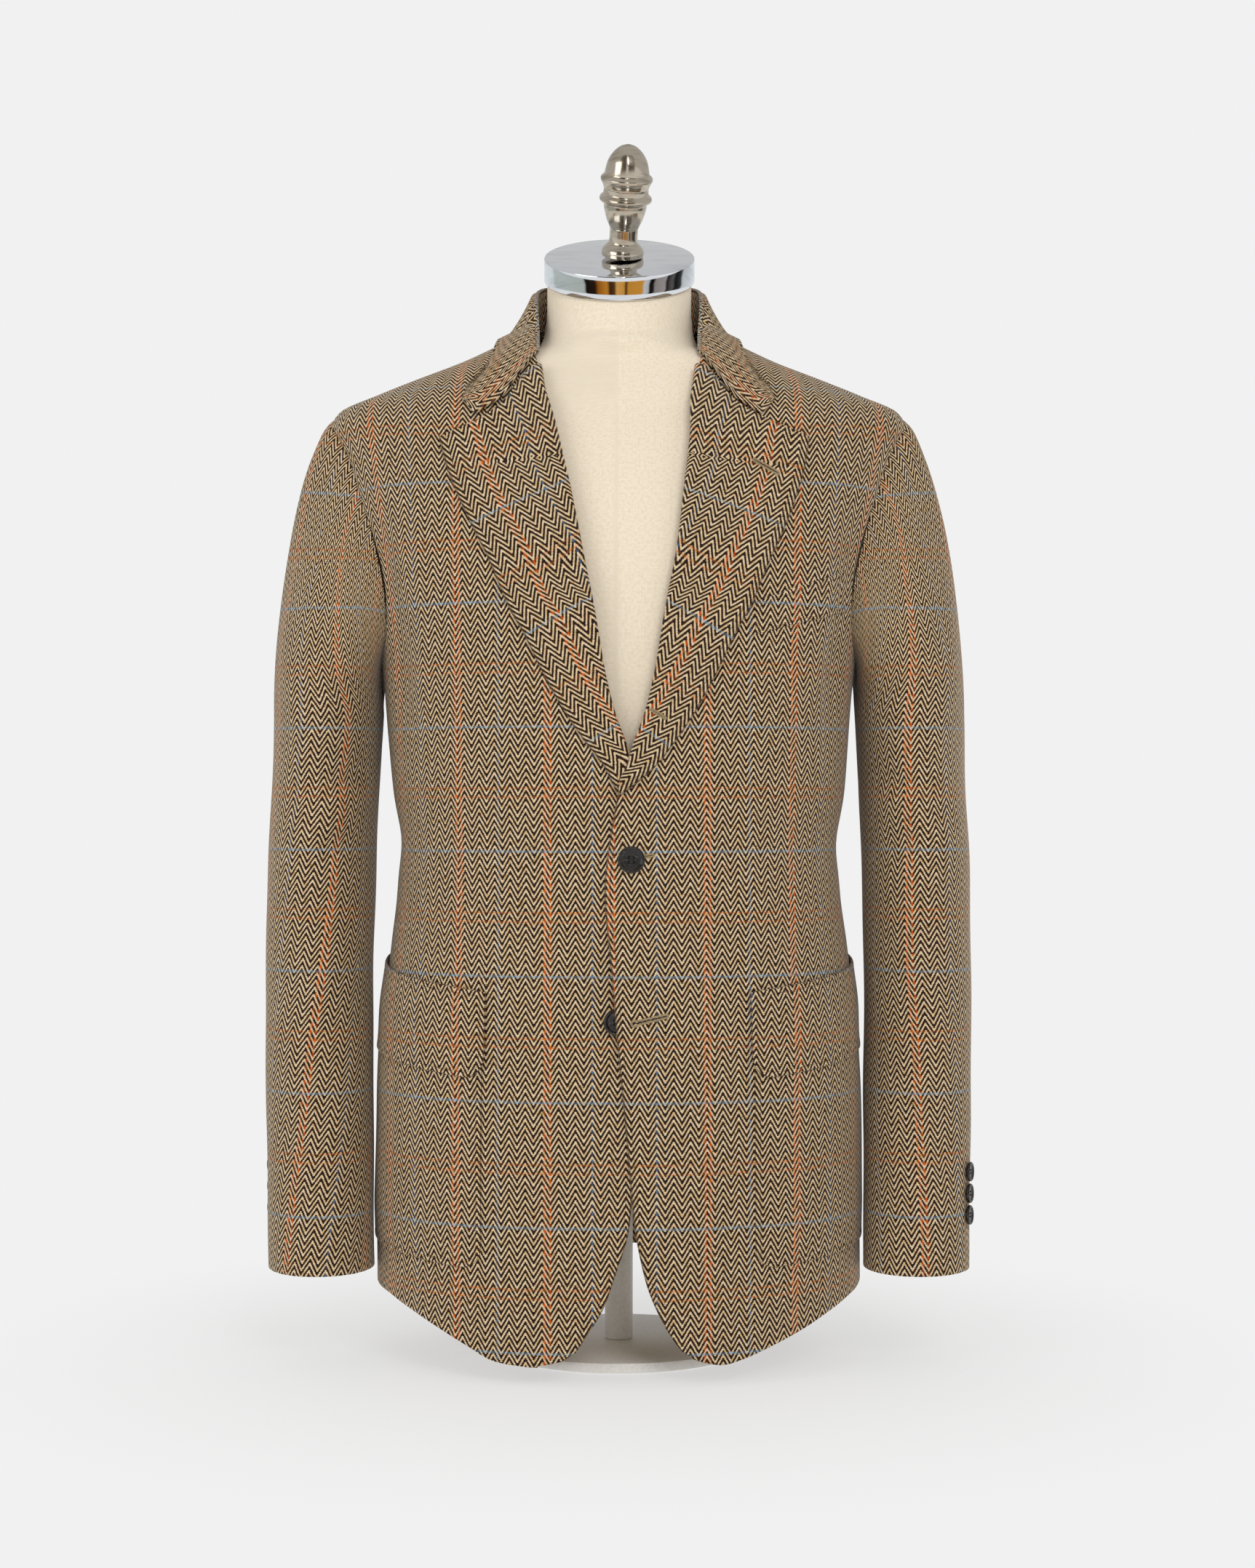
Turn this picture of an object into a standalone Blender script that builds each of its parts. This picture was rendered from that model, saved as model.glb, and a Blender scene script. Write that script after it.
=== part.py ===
"""A tweed hacking jacket on a limbless dress form, with its neck cap, finial and stand.

Metres, +Z up. The jacket faces -Y, and the wearer's left is +X. The origin is on the
resting surface, under the middle of the whole. The body of the jacket is one surface,
around(angle, height): the angle runs from the centre front (0) over the wearer's left
side (90) to the centre back (180). Every panel is a stretch of that surface, and what
lies on a panel is the same stretch moved out.
"""

import math

import bmesh
import bpy
import numpy as np

# ---- driving dimensions ----
CLOTH = 0.0018  # thickness of one layer of tweed
SEAM = 0.0003  # gap between pieces that meet at a seam
LAY = 0.0011  # gap under a piece that lies on a panel
SHIFT_Y = 0.00188  # moves everything, so that the whole stands over the origin

SECTION_POWER = 2.35  # 2 is an ellipse, more is squarer
BODY_REACH = 0.172  # mean radius of the body, which turns angles into lengths of cloth
FRONT_CENTRE = 0.0085  # how far the centre-front line sits to the wearer's left
ARMPIT = 0.536
SHOULDER_POINT = 0.7345
NECK_POINT = 0.797
BACK_NECK = 0.810

BUTTON_FRONT = 0.0200  # diameters
BUTTON_CUFF = 0.0150
BUTTON_THICK = 0.0032
BUTTON_SEAT = {BUTTON_FRONT: 0.0009, BUTTON_CUFF: 0.0005}  # gap under a button, by size
# A button's outline, as shares of its thickness and of its radius; the middle is dished.
BUTTON_OUTLINE = ((0.0, 0.70), (0.1875, 0.90), (0.55, 1.0), (0.90, 0.94), (1.0, 0.84), (0.75, 0.66))
BUTTON_X = 0.0096  # distance of the top button from the middle
TOP_BUTTON_Z = 0.389
LOW_BUTTON_X = -0.0008
LOW_BUTTON_Z = 0.2695
CUFF_BUTTONS = (0.1150, 0.1313, 0.1476)  # heights

OVERLAP_X = (0.035, 0.090)  # the left front comes down from over the right one between these
OVERLAP_Z = (0.465, 0.530)
SWELL, SWELL_WIDE, SWELL_HIGH = 0.0052, 0.028, 0.040  # of the left front over the low button

FORM_GAP = 0.0075  # from the outside of the jacket to the form
FORM_SHOULDER_GAP = 0.0031  # the same where the jacket rests
FORM_SHOULDER = 0.190  # the form rounds off from this half width, inside the armholes
FORM_BOTTOM = 0.155
FORM_HEM = 0.015  # height over which its lower edge turns in
FORM_TURN_IN = 0.012
FORM_YOKE = 0.720
FORM_SLOPE = (0.7345, 0.745, 0.755, 0.765, 0.775)  # heights of its rings over the shoulders
FORM_SHOULDER_REACH = 0.014  # how far it goes on beyond FORM_SHOULDER
SHOULDER_REST = (0.725, 0.755)
NECK_RADIUS = 0.0565
NECK_FOOT = (0.0, 0.0050, 0.7850)
NECK_RINGS = ((0.0, 0.0650), (0.30, 0.0580), (0.65, NECK_RADIUS), (1.0, NECK_RADIUS))
CAP_RADIUS = 0.0588
CAP_BAND = 0.0192
CAP_EDGE = 0.0012
CAP_TILT = math.radians(25.0)
CAP_TOP = (0.0005, -0.0080, 0.8572)  # centre of the cap's flat top
FINIAL_X = 0.0024  # the finial stands a little to the wearer's left of the cap's middle
FINIAL_LEAN = math.radians(3.2)
FINIAL_FOOT = 0.007
POLE_RADIUS = 0.011
STAND_Y = 0.012
BASE_RADIUS = 0.100
BASE_THICK = 0.008
BASE_EDGE = 0.002

# Sections of the jacket's body.
BODY_COLUMNS = ("height", "half_width", "front", "back")
BODY = (
    (0.000, 0.1885, 0.1380, 0.142),
    (0.100, 0.1885, 0.1380, 0.140),
    (0.200, 0.1870, 0.1380, 0.134),
    (0.270, 0.1835, 0.1365, 0.126),
    (0.320, 0.1780, 0.1345, 0.120),
    (0.360, 0.1730, 0.1320, 0.1155),
    (0.400, 0.1712, 0.1310, 0.113),
    (0.440, 0.1762, 0.1320, 0.1145),
    (0.480, 0.1795, 0.1345, 0.119),
    (0.540, 0.1850, 0.1370, 0.127),
    (0.600, 0.1960, 0.1340, 0.133),
    (0.660, 0.2090, 0.1210, 0.131),
    (0.700, 0.2190, 0.1040, 0.121),
    (0.722, 0.2265, 0.0920, 0.110),
    (0.7345, 0.2195, 0.0840, 0.103),
    (0.7475, 0.1915, 0.0760, 0.0955),
    (0.7605, 0.1595, 0.0680, 0.087),
    (0.774, 0.1245, 0.0610, 0.080),
    (0.788, 0.0945, 0.0550, 0.0745),
    (0.800, 0.0700, 0.0500, 0.0705),
    (0.815, 0.0450, 0.0460, 0.067),
)

# The edge of each front, from the rounded corner at the hem to the end of the opening.
EDGE_COLUMNS = ("height", "left", "right")
FRONT_EDGE = (
    (0.0150, 0.0780, -0.0600),
    (0.0180, 0.0640, -0.0440),
    (0.0233, 0.0510, -0.0335),
    (0.0360, 0.0400, -0.0245),
    (0.0577, 0.0280, -0.0110),
    (0.0790, 0.0200, -0.0032),
    (0.1200, 0.0118, 0.0086),
    (0.1857, 0.0059, 0.0130),
    (0.2475, 0.0000, 0.0160),
    (0.3156, -0.0059, 0.0210),
    (0.3670, -0.0102, 0.0260),
    (0.3910, -0.0080, 0.0265),
    (0.4375, 0.0000, 0.0200),
    (0.4570, 0.0064, 0.0070),
)

EDGE_END = 0.460  # the closing edge carries on to here, under the start of the roll
# Half the width of the opening above it: the line on which each lapel rolls over.
OPENING_COLUMNS = ("height", "half")
OPENING = (
    (0.4570, 0.0000),
    (0.4750, 0.0050),
    (0.4990, 0.0137),
    (0.5290, 0.0210),
    (0.5600, 0.0262),
    (0.6120, 0.0361),
    (0.6650, 0.0447),
    (0.7026, 0.0514),
    (0.7428, 0.0580),
    (0.7700, 0.0625),
    (0.7800, 0.0710),
)

# Height of the hem by angle.
HEM_COLUMNS = ("angle", "left", "right")
HEM = (
    (0.0, 0.0150, 0.0137),
    (24.0, 0.0152, 0.0137),
    (31.0, 0.0155, 0.0150),
    (36.0, 0.0185, 0.0171),
    (44.0, 0.0265, 0.0280),
    (53.0, 0.0365, 0.0400),
    (63.0, 0.0480, 0.0510),
    (72.0, 0.0555, 0.0573),
    (90.0, 0.0615, 0.0605),
    (110.0, 0.0625, 0.0625),
    (180.0, 0.0620, 0.0620),
)
LEVELS = ARMPIT * np.linspace(0, 1, 12) ** 1.15  # rows of a panel below the armpit
ARMHOLE_ROWS = (0.17, 0.34, 0.52, 0.70, 0.85, 0.95, 1.00)  # where rows end up the armhole
SHOULDER_ROWS = (0.25, 0.50, 0.75, 1.00)  # where rows end along the shoulder seam
FRONT_AT_SHOULDER, BACK_AT_SHOULDER = 0.726, 0.745  # the middle of the row that ends there
HEM_REACH = 0.25  # height over which the rows of a panel lose the slope of the hem

# The armhole, from the armpit up to the shoulder point, as angles on the body.
ARMHOLE_COLUMNS = ("share", "height", "front", "back")
ARMHOLE = (
    (0.00, 0.5360, 92.0, 92.0),
    (0.10, 0.5410, 83.0, 100.0),
    (0.25, 0.5620, 73.5, 106.5),
    (0.40, 0.5950, 71.0, 108.5),
    (0.55, 0.6320, 73.0, 108.0),
    (0.70, 0.6680, 76.5, 105.5),
    (0.85, 0.7030, 80.5, 101.0),
    (0.95, 0.7270, 85.5, 95.5),
    (1.00, 0.7345, 90.0, 90.0),
)
SIDE_SEAM_COLUMNS = ("height", "turn")
SIDE_SEAM = ((0.0, 108.0), (0.20, 107.0), (0.30, 104.0), (0.45, 97.0), (0.536, 92.0))

# The sleeve below the armpit.
SLEEVE_COLUMNS = ("height", "x", "y", "half_width", "half_depth")
SLEEVE = (
    (0.500, 0.2275, 0.000, 0.0425, 0.0740),
    (0.440, 0.2300, -0.001, 0.0415, 0.0700),
    (0.380, 0.2325, -0.004, 0.0420, 0.0650),
    (0.300, 0.2335, -0.010, 0.0415, 0.0585),
    (0.250, 0.2330, -0.016, 0.0415, 0.0555),
    (0.200, 0.2318, -0.022, 0.0415, 0.0525),
    (0.120, 0.2302, -0.033, 0.0407, 0.0490),
    (0.073, 0.2290, -0.040, 0.0407, 0.0478),
)

# The sleeve's two seams, as angles from its front, and the line of its cuff buttons.
# The crown runs down from the shoulder point.
SEAM_COLUMNS = ("height", "hindarm_left", "hindarm_right", "forearm", "crown")
SLEEVE_SEAMS = (
    (0.700, 162.0, 162.0, -72.0, 90.0),
    (0.500, 138.0, 142.0, -98.0, 66.0),
    (0.300, 100.0, 134.0, -108.0, 40.0),
    (0.073, 82.0, 130.0, -108.0, 24.0),
)
BEFORE_CROWN = (0.0, 0.13, 0.27, 0.47, 0.67, 0.83, 0.945)  # columns between the seams
BEHIND_CROWN = (0.0, 0.125, 0.375, 0.75, 1.0)
CUFF_BUTTON_LEFT, CUFF_BUTTON_RIGHT = 64.0, 112.0
CAP_ROWS, LOW_ROWS = 7, 7  # rows of the sleeve head and of the sleeve below it
HEAD_TOP = 0.700  # height that the first row stands for when the seams are read
HEAD_LIFT = 0.0010  # the sleeve starts this far off the body
ARMHOLE_CENTRE = np.array([0.186, 0.0, 0.630])
HEAD_LEAVE = {"low_x": 0.010, "rise_x": 0.062, "y": -0.020, "low_z": -0.010, "rise_z": -0.030}
HEAD_ARRIVE = {"low_z": -0.035, "rise_z": -0.235}

# The lapel: its roll line and its outer edge, as distances from the centre front.
LAPEL_COLUMNS = ("roll", "roll_z", "edge", "edge_z")
LAPEL = (
    (0.0005, 0.4590, 0.0195, 0.4590),
    (0.0050, 0.4750, 0.0350, 0.4790),
    (0.0137, 0.4990, 0.0520, 0.5050),
    (0.0210, 0.5290, 0.0655, 0.5300),
    (0.0262, 0.5600, 0.0785, 0.5570),
    (0.0310, 0.5870, 0.0915, 0.5810),
    (0.0361, 0.6120, 0.1030, 0.6090),
    (0.0408, 0.6400, 0.1150, 0.6340),
    (0.0447, 0.6650, 0.1262, 0.6600),
    (0.0492, 0.6900, 0.1345, 0.6840),
    (0.0525, 0.7100, 0.1395, 0.7065),
    (0.0545, 0.7240, 0.1235, 0.7135),
    (0.0562, 0.7340, 0.1075, 0.7205),
    (0.0585, 0.7460, 0.0885, 0.7335),
    (0.0605, 0.7620, 0.0700, 0.7600),
)
LAPEL_TIP_LEFT = (-0.0085, 0.4420, -0.0062, 0.4365)
LAPEL_TIP_RIGHT = (0.0075, 0.4420, 0.0098, 0.4385)

# The collar's leaf: its fold at the top and its outer edge, from the gorge to the back.
COLLAR_COLUMNS = ("fold_x", "fold_y", "fold_z", "edge_x", "edge_y", "edge_z")
COLLAR = (
    (0.0645, -0.032, 0.797, 0.1144, None, 0.7433),
    (0.0665, -0.013, 0.815, 0.1065, None, 0.7522),
    (0.0672, 0.004, 0.828, 0.0995, None, 0.7640),
    (0.0660, 0.022, 0.836, 0.0945, -0.0190, 0.7790),
    (0.0600, 0.042, 0.842, 0.0965, 0.0110, 0.7890),
    (0.0480, 0.058, 0.845, 0.0880, 0.0440, 0.7890),
    (0.0260, 0.070, 0.847, 0.0480, 0.0790, 0.7930),
    (0.0000, 0.074, 0.8475, 0.0000, 0.0890, 0.7965),
)
COLLAR_SAG = 0.0030  # how far the leaf hollows between fold and edge
COLLAR_LEVELS = (0.815, 0.700, 70)  # highest, lowest and number of heights tried below it
COLLAR_LIFT = 0.0045  # from the body to the outside of the collar
NECK_MIDDLE_Y = 0.012  # the collar's stand leans towards this line
STAND_UP, STAND_IN = 0.0022, 0.0016  # its foot, above and inside the neck seam
STAND_UNDER = 0.0030  # its top, below the fold
GORGE_COLUMNS = ("half", "height")
GORGE = (
    (0.0622, 0.7745),
    (0.0705, 0.7620),
    (0.0888, 0.7350),
    (0.1075, 0.7225),
    (0.1185, 0.7356),
)

# Hip pockets by angle, and the breast welt by distance from the middle.
PATCH_ANGLES = (39.5, 94.0)
PATCH_TOP = (0.2840, 0.3020)
PATCH_BOTTOM = (0.0840, 0.0975)
FLAP_ANGLES = (38.8, 95.5)
FLAP_TOP = (0.2905, 0.3105)
FLAP_DEPTH = 0.0655
POCKET_CORNER = 0.0180
WELT_TOP_X = (0.1040, 0.1725)
WELT_BOTTOM_X = (0.0965, 0.1740)
WELT_TOP = (0.5815, 0.6067)
WELT_BOTTOM = (0.5545, 0.5760)

# Turned outline of the finial, from its foot to its tip.
FINIAL_COLUMNS = ("height", "radius")
FINIAL = (
    (0.0000, 0.0150),
    (0.0008, 0.0163),
    (0.0035, 0.0165),
    (0.0060, 0.0158),
    (0.0090, 0.0132),
    (0.0113, 0.0114),
    (0.0160, 0.0110),
    (0.0214, 0.0110),
    (0.0250, 0.0123),
    (0.0298, 0.0143),
    (0.0383, 0.0166),
    (0.0417, 0.0170),
    (0.0435, 0.0198),
    (0.0450, 0.0204),
    (0.0468, 0.0200),
    (0.0493, 0.0177),
    (0.0530, 0.0174),
    (0.0568, 0.0186),
    (0.0600, 0.0202),
    (0.0615, 0.0202),
    (0.0649, 0.0174),
    (0.0668, 0.0171),
    (0.0740, 0.0154),
    (0.0817, 0.0107),
    (0.0858, 0.0056),
    (0.0872, 0.0015),
)

COLOURS = {
    "tweed": (0.235, 0.170, 0.105, 0.9, 0.0),
    "horn": (0.030, 0.018, 0.012, 0.3, 0.0),
    "linen": (0.720, 0.610, 0.450, 0.85, 0.0),
    "chrome": (0.800, 0.800, 0.800, 0.08, 1.0),
    "nickel": (0.700, 0.650, 0.550, 0.15, 1.0),
    "paint": (0.780, 0.770, 0.750, 0.4, 0.0),
}


# ---- small tools ----
def material(name):
    """The Principled material of this name, made once."""
    if name in bpy.data.materials:
        return bpy.data.materials[name]
    red, green, blue, roughness, metallic = COLOURS[name]
    made = bpy.data.materials.new(name)
    made.use_nodes = True
    shader = made.node_tree.nodes["Principled BSDF"]
    shader.inputs["Base Color"].default_value = (red, green, blue, 1.0)
    shader.inputs["Roughness"].default_value = roughness
    shader.inputs["Metallic"].default_value = metallic
    made.diffuse_color = (red, green, blue, 1.0)
    return made


def column(columns, rows, name):
    return np.array([row[columns.index(name)] for row in rows], float)


def eased(xs, ys):
    """A smooth function through points: a cubic whose slope never overshoots them."""
    xs, ys = np.asarray(xs, float), np.asarray(ys, float)
    steps, rises = np.diff(xs), np.diff(ys)
    slopes = rises / steps
    inner = np.zeros(len(xs))
    same = slopes[:-1] * slopes[1:] > 0
    total = slopes[:-1] + slopes[1:]
    inner[1:-1] = np.where(same, 2 * slopes[:-1] * slopes[1:] / np.where(same, total, 1), 0)
    inner[0], inner[-1] = slopes[0], slopes[-1]

    def value(x):
        x = np.clip(np.asarray(x, float), xs[0], xs[-1])
        i = np.clip(np.searchsorted(xs, x, side="right") - 1, 0, len(xs) - 2)
        t = (x - xs[i]) / steps[i]
        return (
            ys[i] * (1 + 2 * t) * (1 - t) ** 2
            + ys[i + 1] * t * t * (3 - 2 * t)
            + steps[i] * t * (1 - t) * (inner[i] * (1 - t) - inner[i + 1] * t)
        )

    return value


def table(columns, rows, name):
    """The named column as a smooth function of the first one."""
    first = column(columns, rows, columns[0])
    order = np.argsort(first)
    return eased(first[order], column(columns, rows, name)[order])


def mix(a, b, t):
    return a + (b - a) * t


def soft_step(x, low, high):
    t = np.clip((x - low) / (high - low), 0, 1)
    return t * t * (3 - 2 * t)


# ---- the surface of the jacket's body ----
half_width = table(BODY_COLUMNS, BODY, "half_width")
front_depth = table(BODY_COLUMNS, BODY, "front")
back_depth = table(BODY_COLUMNS, BODY, "back")
centre_shift = eased((0.0, 0.60, 0.707, 0.745, 0.90), (1.0, 1.0, 0.5, 0.0, 0.0))


def plain_around(angle, height):
    """A squared ellipse at each height, read along the ray at this angle."""
    turn = np.radians(angle)
    across, along = np.sin(turn), np.cos(turn)
    depth = np.where(along >= 0, front_depth(height), back_depth(height))
    width = half_width(height)
    shape = np.abs(across / width) ** SECTION_POWER + np.abs(along / depth) ** SECTION_POWER
    radius = shape ** (-1 / SECTION_POWER)
    return np.stack([radius * across, -radius * along, height + 0 * radius], axis=-1)


def around(angle, height, out=0.0):
    """The body's surface at an angle and a height, moved out along its own normal."""
    angle, height = np.broadcast_arrays(np.asarray(angle, float), np.asarray(height, float))
    turn, rise = 0.5, 0.001
    sideways = plain_around(angle + turn, height) - plain_around(angle - turn, height)
    upwards = plain_around(angle, height + rise) - plain_around(angle, height - rise)
    normal = np.cross(sideways, upwards)
    normal /= np.linalg.norm(normal, axis=-1, keepdims=True)
    return plain_around(angle, height) + normal * np.asarray(out)[..., None]


def front_angle(x, height):
    """The angle of the point of the front that lies x from the middle."""
    share = np.clip(np.abs(x) / half_width(height), 0, 1)
    depth = front_depth(height) * (1 - share**SECTION_POWER) ** (1 / SECTION_POWER)
    return np.degrees(np.arctan2(x, np.maximum(depth, 1e-6)))


def mirrored(points, side):
    return points * np.array([side, 1.0, 1.0])


# ---- meshes ----
def add_object(name, mesh, finish):
    mesh.materials.append(material(finish))
    made = bpy.data.objects.new(name, mesh)
    bpy.context.scene.collection.objects.link(made)
    mesh.shade_smooth()
    mesh.set_sharp_from_angle(angle=math.radians(40))
    return made


def shell(name, outer, inner, finish="tweed"):
    """One closed wall between two grids of points, with its rim."""
    rows, columns = outer.shape[:2]
    work = bmesh.new()
    layers = [
        [[work.verts.new(point) for point in line] for line in grid.tolist()]
        for grid in (outer, inner)
    ]
    for layer in layers:
        for i in range(rows - 1):
            for j in range(columns - 1):
                low, high = layer[i], layer[i + 1]
                work.faces.new((low[j], low[j + 1], high[j + 1], high[j]))
    around_rim = (
        [(0, j) for j in range(columns)]
        + [(i, columns - 1) for i in range(1, rows)]
        + [(rows - 1, j) for j in range(columns - 2, -1, -1)]
        + [(i, 0) for i in range(rows - 2, 0, -1)]
    )
    for (i, j), (k, m) in zip(around_rim, around_rim[1:] + around_rim[:1]):
        work.faces.new((layers[0][i][j], layers[1][i][j], layers[1][k][m], layers[0][k][m]))
    bmesh.ops.recalc_face_normals(work, faces=work.faces)
    mesh = bpy.data.meshes.new(name)
    work.to_mesh(mesh)
    work.free()
    return add_object(name, mesh, finish)


def body_shell(name, angle, height, out, side):
    """A panel of the body: a wall inwards from the surface at these angles and heights."""
    outer = mirrored(around(angle, height, out), side)
    inner = mirrored(around(angle, height, out - CLOTH), side)
    return shell(name, outer, inner)


def thickened(name, outer, inside):
    """A wall that grows from a grid of points towards the given points inside it."""
    along = np.gradient(outer, axis=0)
    across = np.gradient(outer, axis=1)
    normal = np.cross(along, across)
    normal /= np.linalg.norm(normal, axis=-1, keepdims=True)
    towards = np.sign(np.sum(normal * (outer - inside), axis=-1, keepdims=True).sum())
    return shell(name, outer, outer - normal * towards * CLOTH)


def loft(name, rings, finish):
    """A solid through closed rings of points, capped at both ends."""
    work = bmesh.new()
    lines = [[work.verts.new(point) for point in ring.tolist()] for ring in rings]
    count = len(lines[0])
    for low, high in zip(lines, lines[1:]):
        for j in range(count):
            k = (j + 1) % count
            work.faces.new((low[j], low[k], high[k], high[j]))
    work.faces.new(lines[0][::-1])
    work.faces.new(lines[-1])
    bmesh.ops.recalc_face_normals(work, faces=work.faces)
    mesh = bpy.data.meshes.new(name)
    work.to_mesh(mesh)
    work.free()
    return add_object(name, mesh, finish)


def turned(name, outline, base, axis, finish, segments):
    """A solid turned about an axis that starts at base: outline is (height, radius) rows."""
    axis = np.asarray(axis, float) / np.linalg.norm(axis)
    helper = np.array([1.0, 0.0, 0.0]) if abs(axis[0]) < 0.9 else np.array([0.0, 1.0, 0.0])
    first = np.cross(axis, helper)
    first /= np.linalg.norm(first)
    second = np.cross(axis, first)
    turn = np.linspace(0, 2 * np.pi, segments, endpoint=False)[:, None]
    circle = np.cos(turn) * first + np.sin(turn) * second
    rings = [np.asarray(base) + axis * h + circle * r for h, r in outline]
    return loft(name, rings, finish)


# ---- the fronts ----
def front_edge_x(height, side):
    """Where the inner edge of a front lies: its closing edge, then the roll line."""
    edge = table(EDGE_COLUMNS, FRONT_EDGE, "left" if side > 0 else "right")(height) * side
    opening = table(OPENING_COLUMNS, OPENING, "half")(height)
    rolled = opening + side * FRONT_CENTRE * centre_shift(height)
    carried = np.maximum(rolled, edge * (height < EDGE_END))
    return np.where(height < OPENING[0][0], edge, carried)


def overlap(x, height):
    """How far the wearer's left front stands out where it lies over the right one."""
    beside = 1 - soft_step(x, *OVERLAP_X)
    below = 1 - soft_step(height, *OVERLAP_Z)
    over = (CLOTH + LAY) * beside * below
    across, up = x - LOW_BUTTON_X, height - LOW_BUTTON_Z
    swell = np.exp(-((across / SWELL_WIDE) ** 2) - (up / SWELL_HIGH) ** 2)
    return over + SWELL * swell


def upper_rows(facing, shoulder_z, neck_z):
    """The rows above the armpit: height at the middle, and angle and height at the outer end.

    They end up the armhole first, then along the shoulder seam.
    """
    fore = table(ARMHOLE_COLUMNS, ARMHOLE, facing)
    level = table(ARMHOLE_COLUMNS, ARMHOLE, "height")
    inner = eased((0, 1, 2), (ARMPIT, shoulder_z, neck_z))
    rows = [(float(inner(at)), float(fore(at)), float(level(at))) for at in ARMHOLE_ROWS]
    for at in SHOULDER_ROWS:
        rows.append((float(inner(1 + at)), 90.0, mix(SHOULDER_POINT, NECK_POINT, at)))
    return rows


def front_grid(side, columns=15):
    """Angles and heights of a front's grid, from the hem up to the shoulder seam."""
    hem = table(HEM_COLUMNS, HEM, "left" if side > 0 else "right")
    seam = table(SIDE_SEAM_COLUMNS, SIDE_SEAM, "turn")
    share = np.linspace(0, 1, columns)
    corner = EDGE_COLUMNS.index("left" if side > 0 else "right")
    corner_angle = float(front_angle(FRONT_EDGE[0][corner] * side, FRONT_EDGE[0][0]))
    angles, heights = [], []
    for level in LEVELS:
        fade = max(0.0, 1 - level / HEM_REACH) ** 2
        start = level + float(hem(corner_angle)) * fade
        edge = float(front_angle(front_edge_x(start, side), start))
        angle = mix(edge, float(seam(level)), share)
        angles.append(angle)
        heights.append(level + hem(angle) * fade)
    for start, end_angle, end_height in upper_rows("front", FRONT_AT_SHOULDER, OPENING[-1][0]):
        edge = float(front_angle(front_edge_x(start, side), start))
        angles.append(mix(edge, end_angle, share))
        heights.append(mix(start, end_height, share))
    return np.array(angles), np.array(heights)


def inset(grid_angle, grid_height, amount=SEAM / 2):
    """Draws a grid's border in, so that neighbours stay a seam's gap apart."""
    angle, height = grid_angle.copy(), grid_height.copy()
    degrees = math.degrees(amount / BODY_REACH)
    angle[:, 0] += degrees * np.sign(angle[:, 1] - angle[:, 0])
    angle[:, -1] -= degrees * np.sign(angle[:, -1] - angle[:, -2])
    height[0] += amount
    height[-1] -= amount
    return angle, height


def make_fronts():
    for name, side in (("front_left", 1), ("front_right", -1)):
        angle, height = inset(*front_grid(side))
        out = 0.0 * angle
        if side > 0:
            out = overlap(plain_around(angle, height)[..., 0], height)
        body_shell(name, angle, height, out, side)


# ---- the backs ----
def make_backs(columns=11):
    hem = table(HEM_COLUMNS, HEM, "left")
    seam = table(SIDE_SEAM_COLUMNS, SIDE_SEAM, "turn")
    share = np.linspace(0, 1, columns)
    angles, heights = [], []
    for level in LEVELS:
        fade = max(0.0, 1 - level / HEM_REACH) ** 2
        angle = mix(float(seam(level)), 180.0, share)
        angles.append(angle)
        heights.append(level + hem(angle) * fade)
    for centre, end_angle, end_height in upper_rows("back", BACK_AT_SHOULDER, BACK_NECK):
        angles.append(mix(end_angle, 180.0, share))
        heights.append(mix(end_height, centre, np.sin(share * np.pi / 2)))
    for name, side in (("back_left", 1), ("back_right", -1)):
        angle, height = inset(np.array(angles), np.array(heights))
        body_shell(name, angle, height, 0.0 * angle, side)


# ---- lapels and collar ----
def lapel_grid(side, columns=7):
    """Distances from the middle and heights of a lapel's grid, from its tip to the gorge."""
    tip = LAPEL_TIP_LEFT if side > 0 else LAPEL_TIP_RIGHT
    rows = (tip,) + LAPEL
    share = np.linspace(0, 1, columns)
    x = np.array([mix(row[0], row[2], share) for row in rows])
    height = np.array([mix(row[1], row[3], share) for row in rows])
    return x + side * FRONT_CENTRE * centre_shift(height), height


def make_lapels():
    for name, side in (("lapel_left", 1), ("lapel_right", -1)):
        x, height = lapel_grid(side)
        angle = front_angle(x, height)
        out = LAY + CLOTH + 0.0 * angle
        if side > 0:
            out = out + overlap(x, height)
        body_shell(name, angle, height, out, side)


def rest_on_body(points, lift):
    """Raises any point that is closer to the body than this."""
    turn = np.degrees(np.arctan2(np.abs(points[:, 0]), -points[:, 1]))
    reach = np.hypot(points[:, 0], points[:, 1])
    levels = np.linspace(*COLLAR_LEVELS)
    found = points.copy()
    for i, (angle, radius) in enumerate(zip(turn, reach)):
        seats = around(angle + 0 * levels, levels, lift)
        radii = np.linalg.norm(seats[:, :2], axis=-1)
        found[i, 2] = max(points[i, 2], np.interp(radius, radii, seats[:, 2]))
    return found


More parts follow.
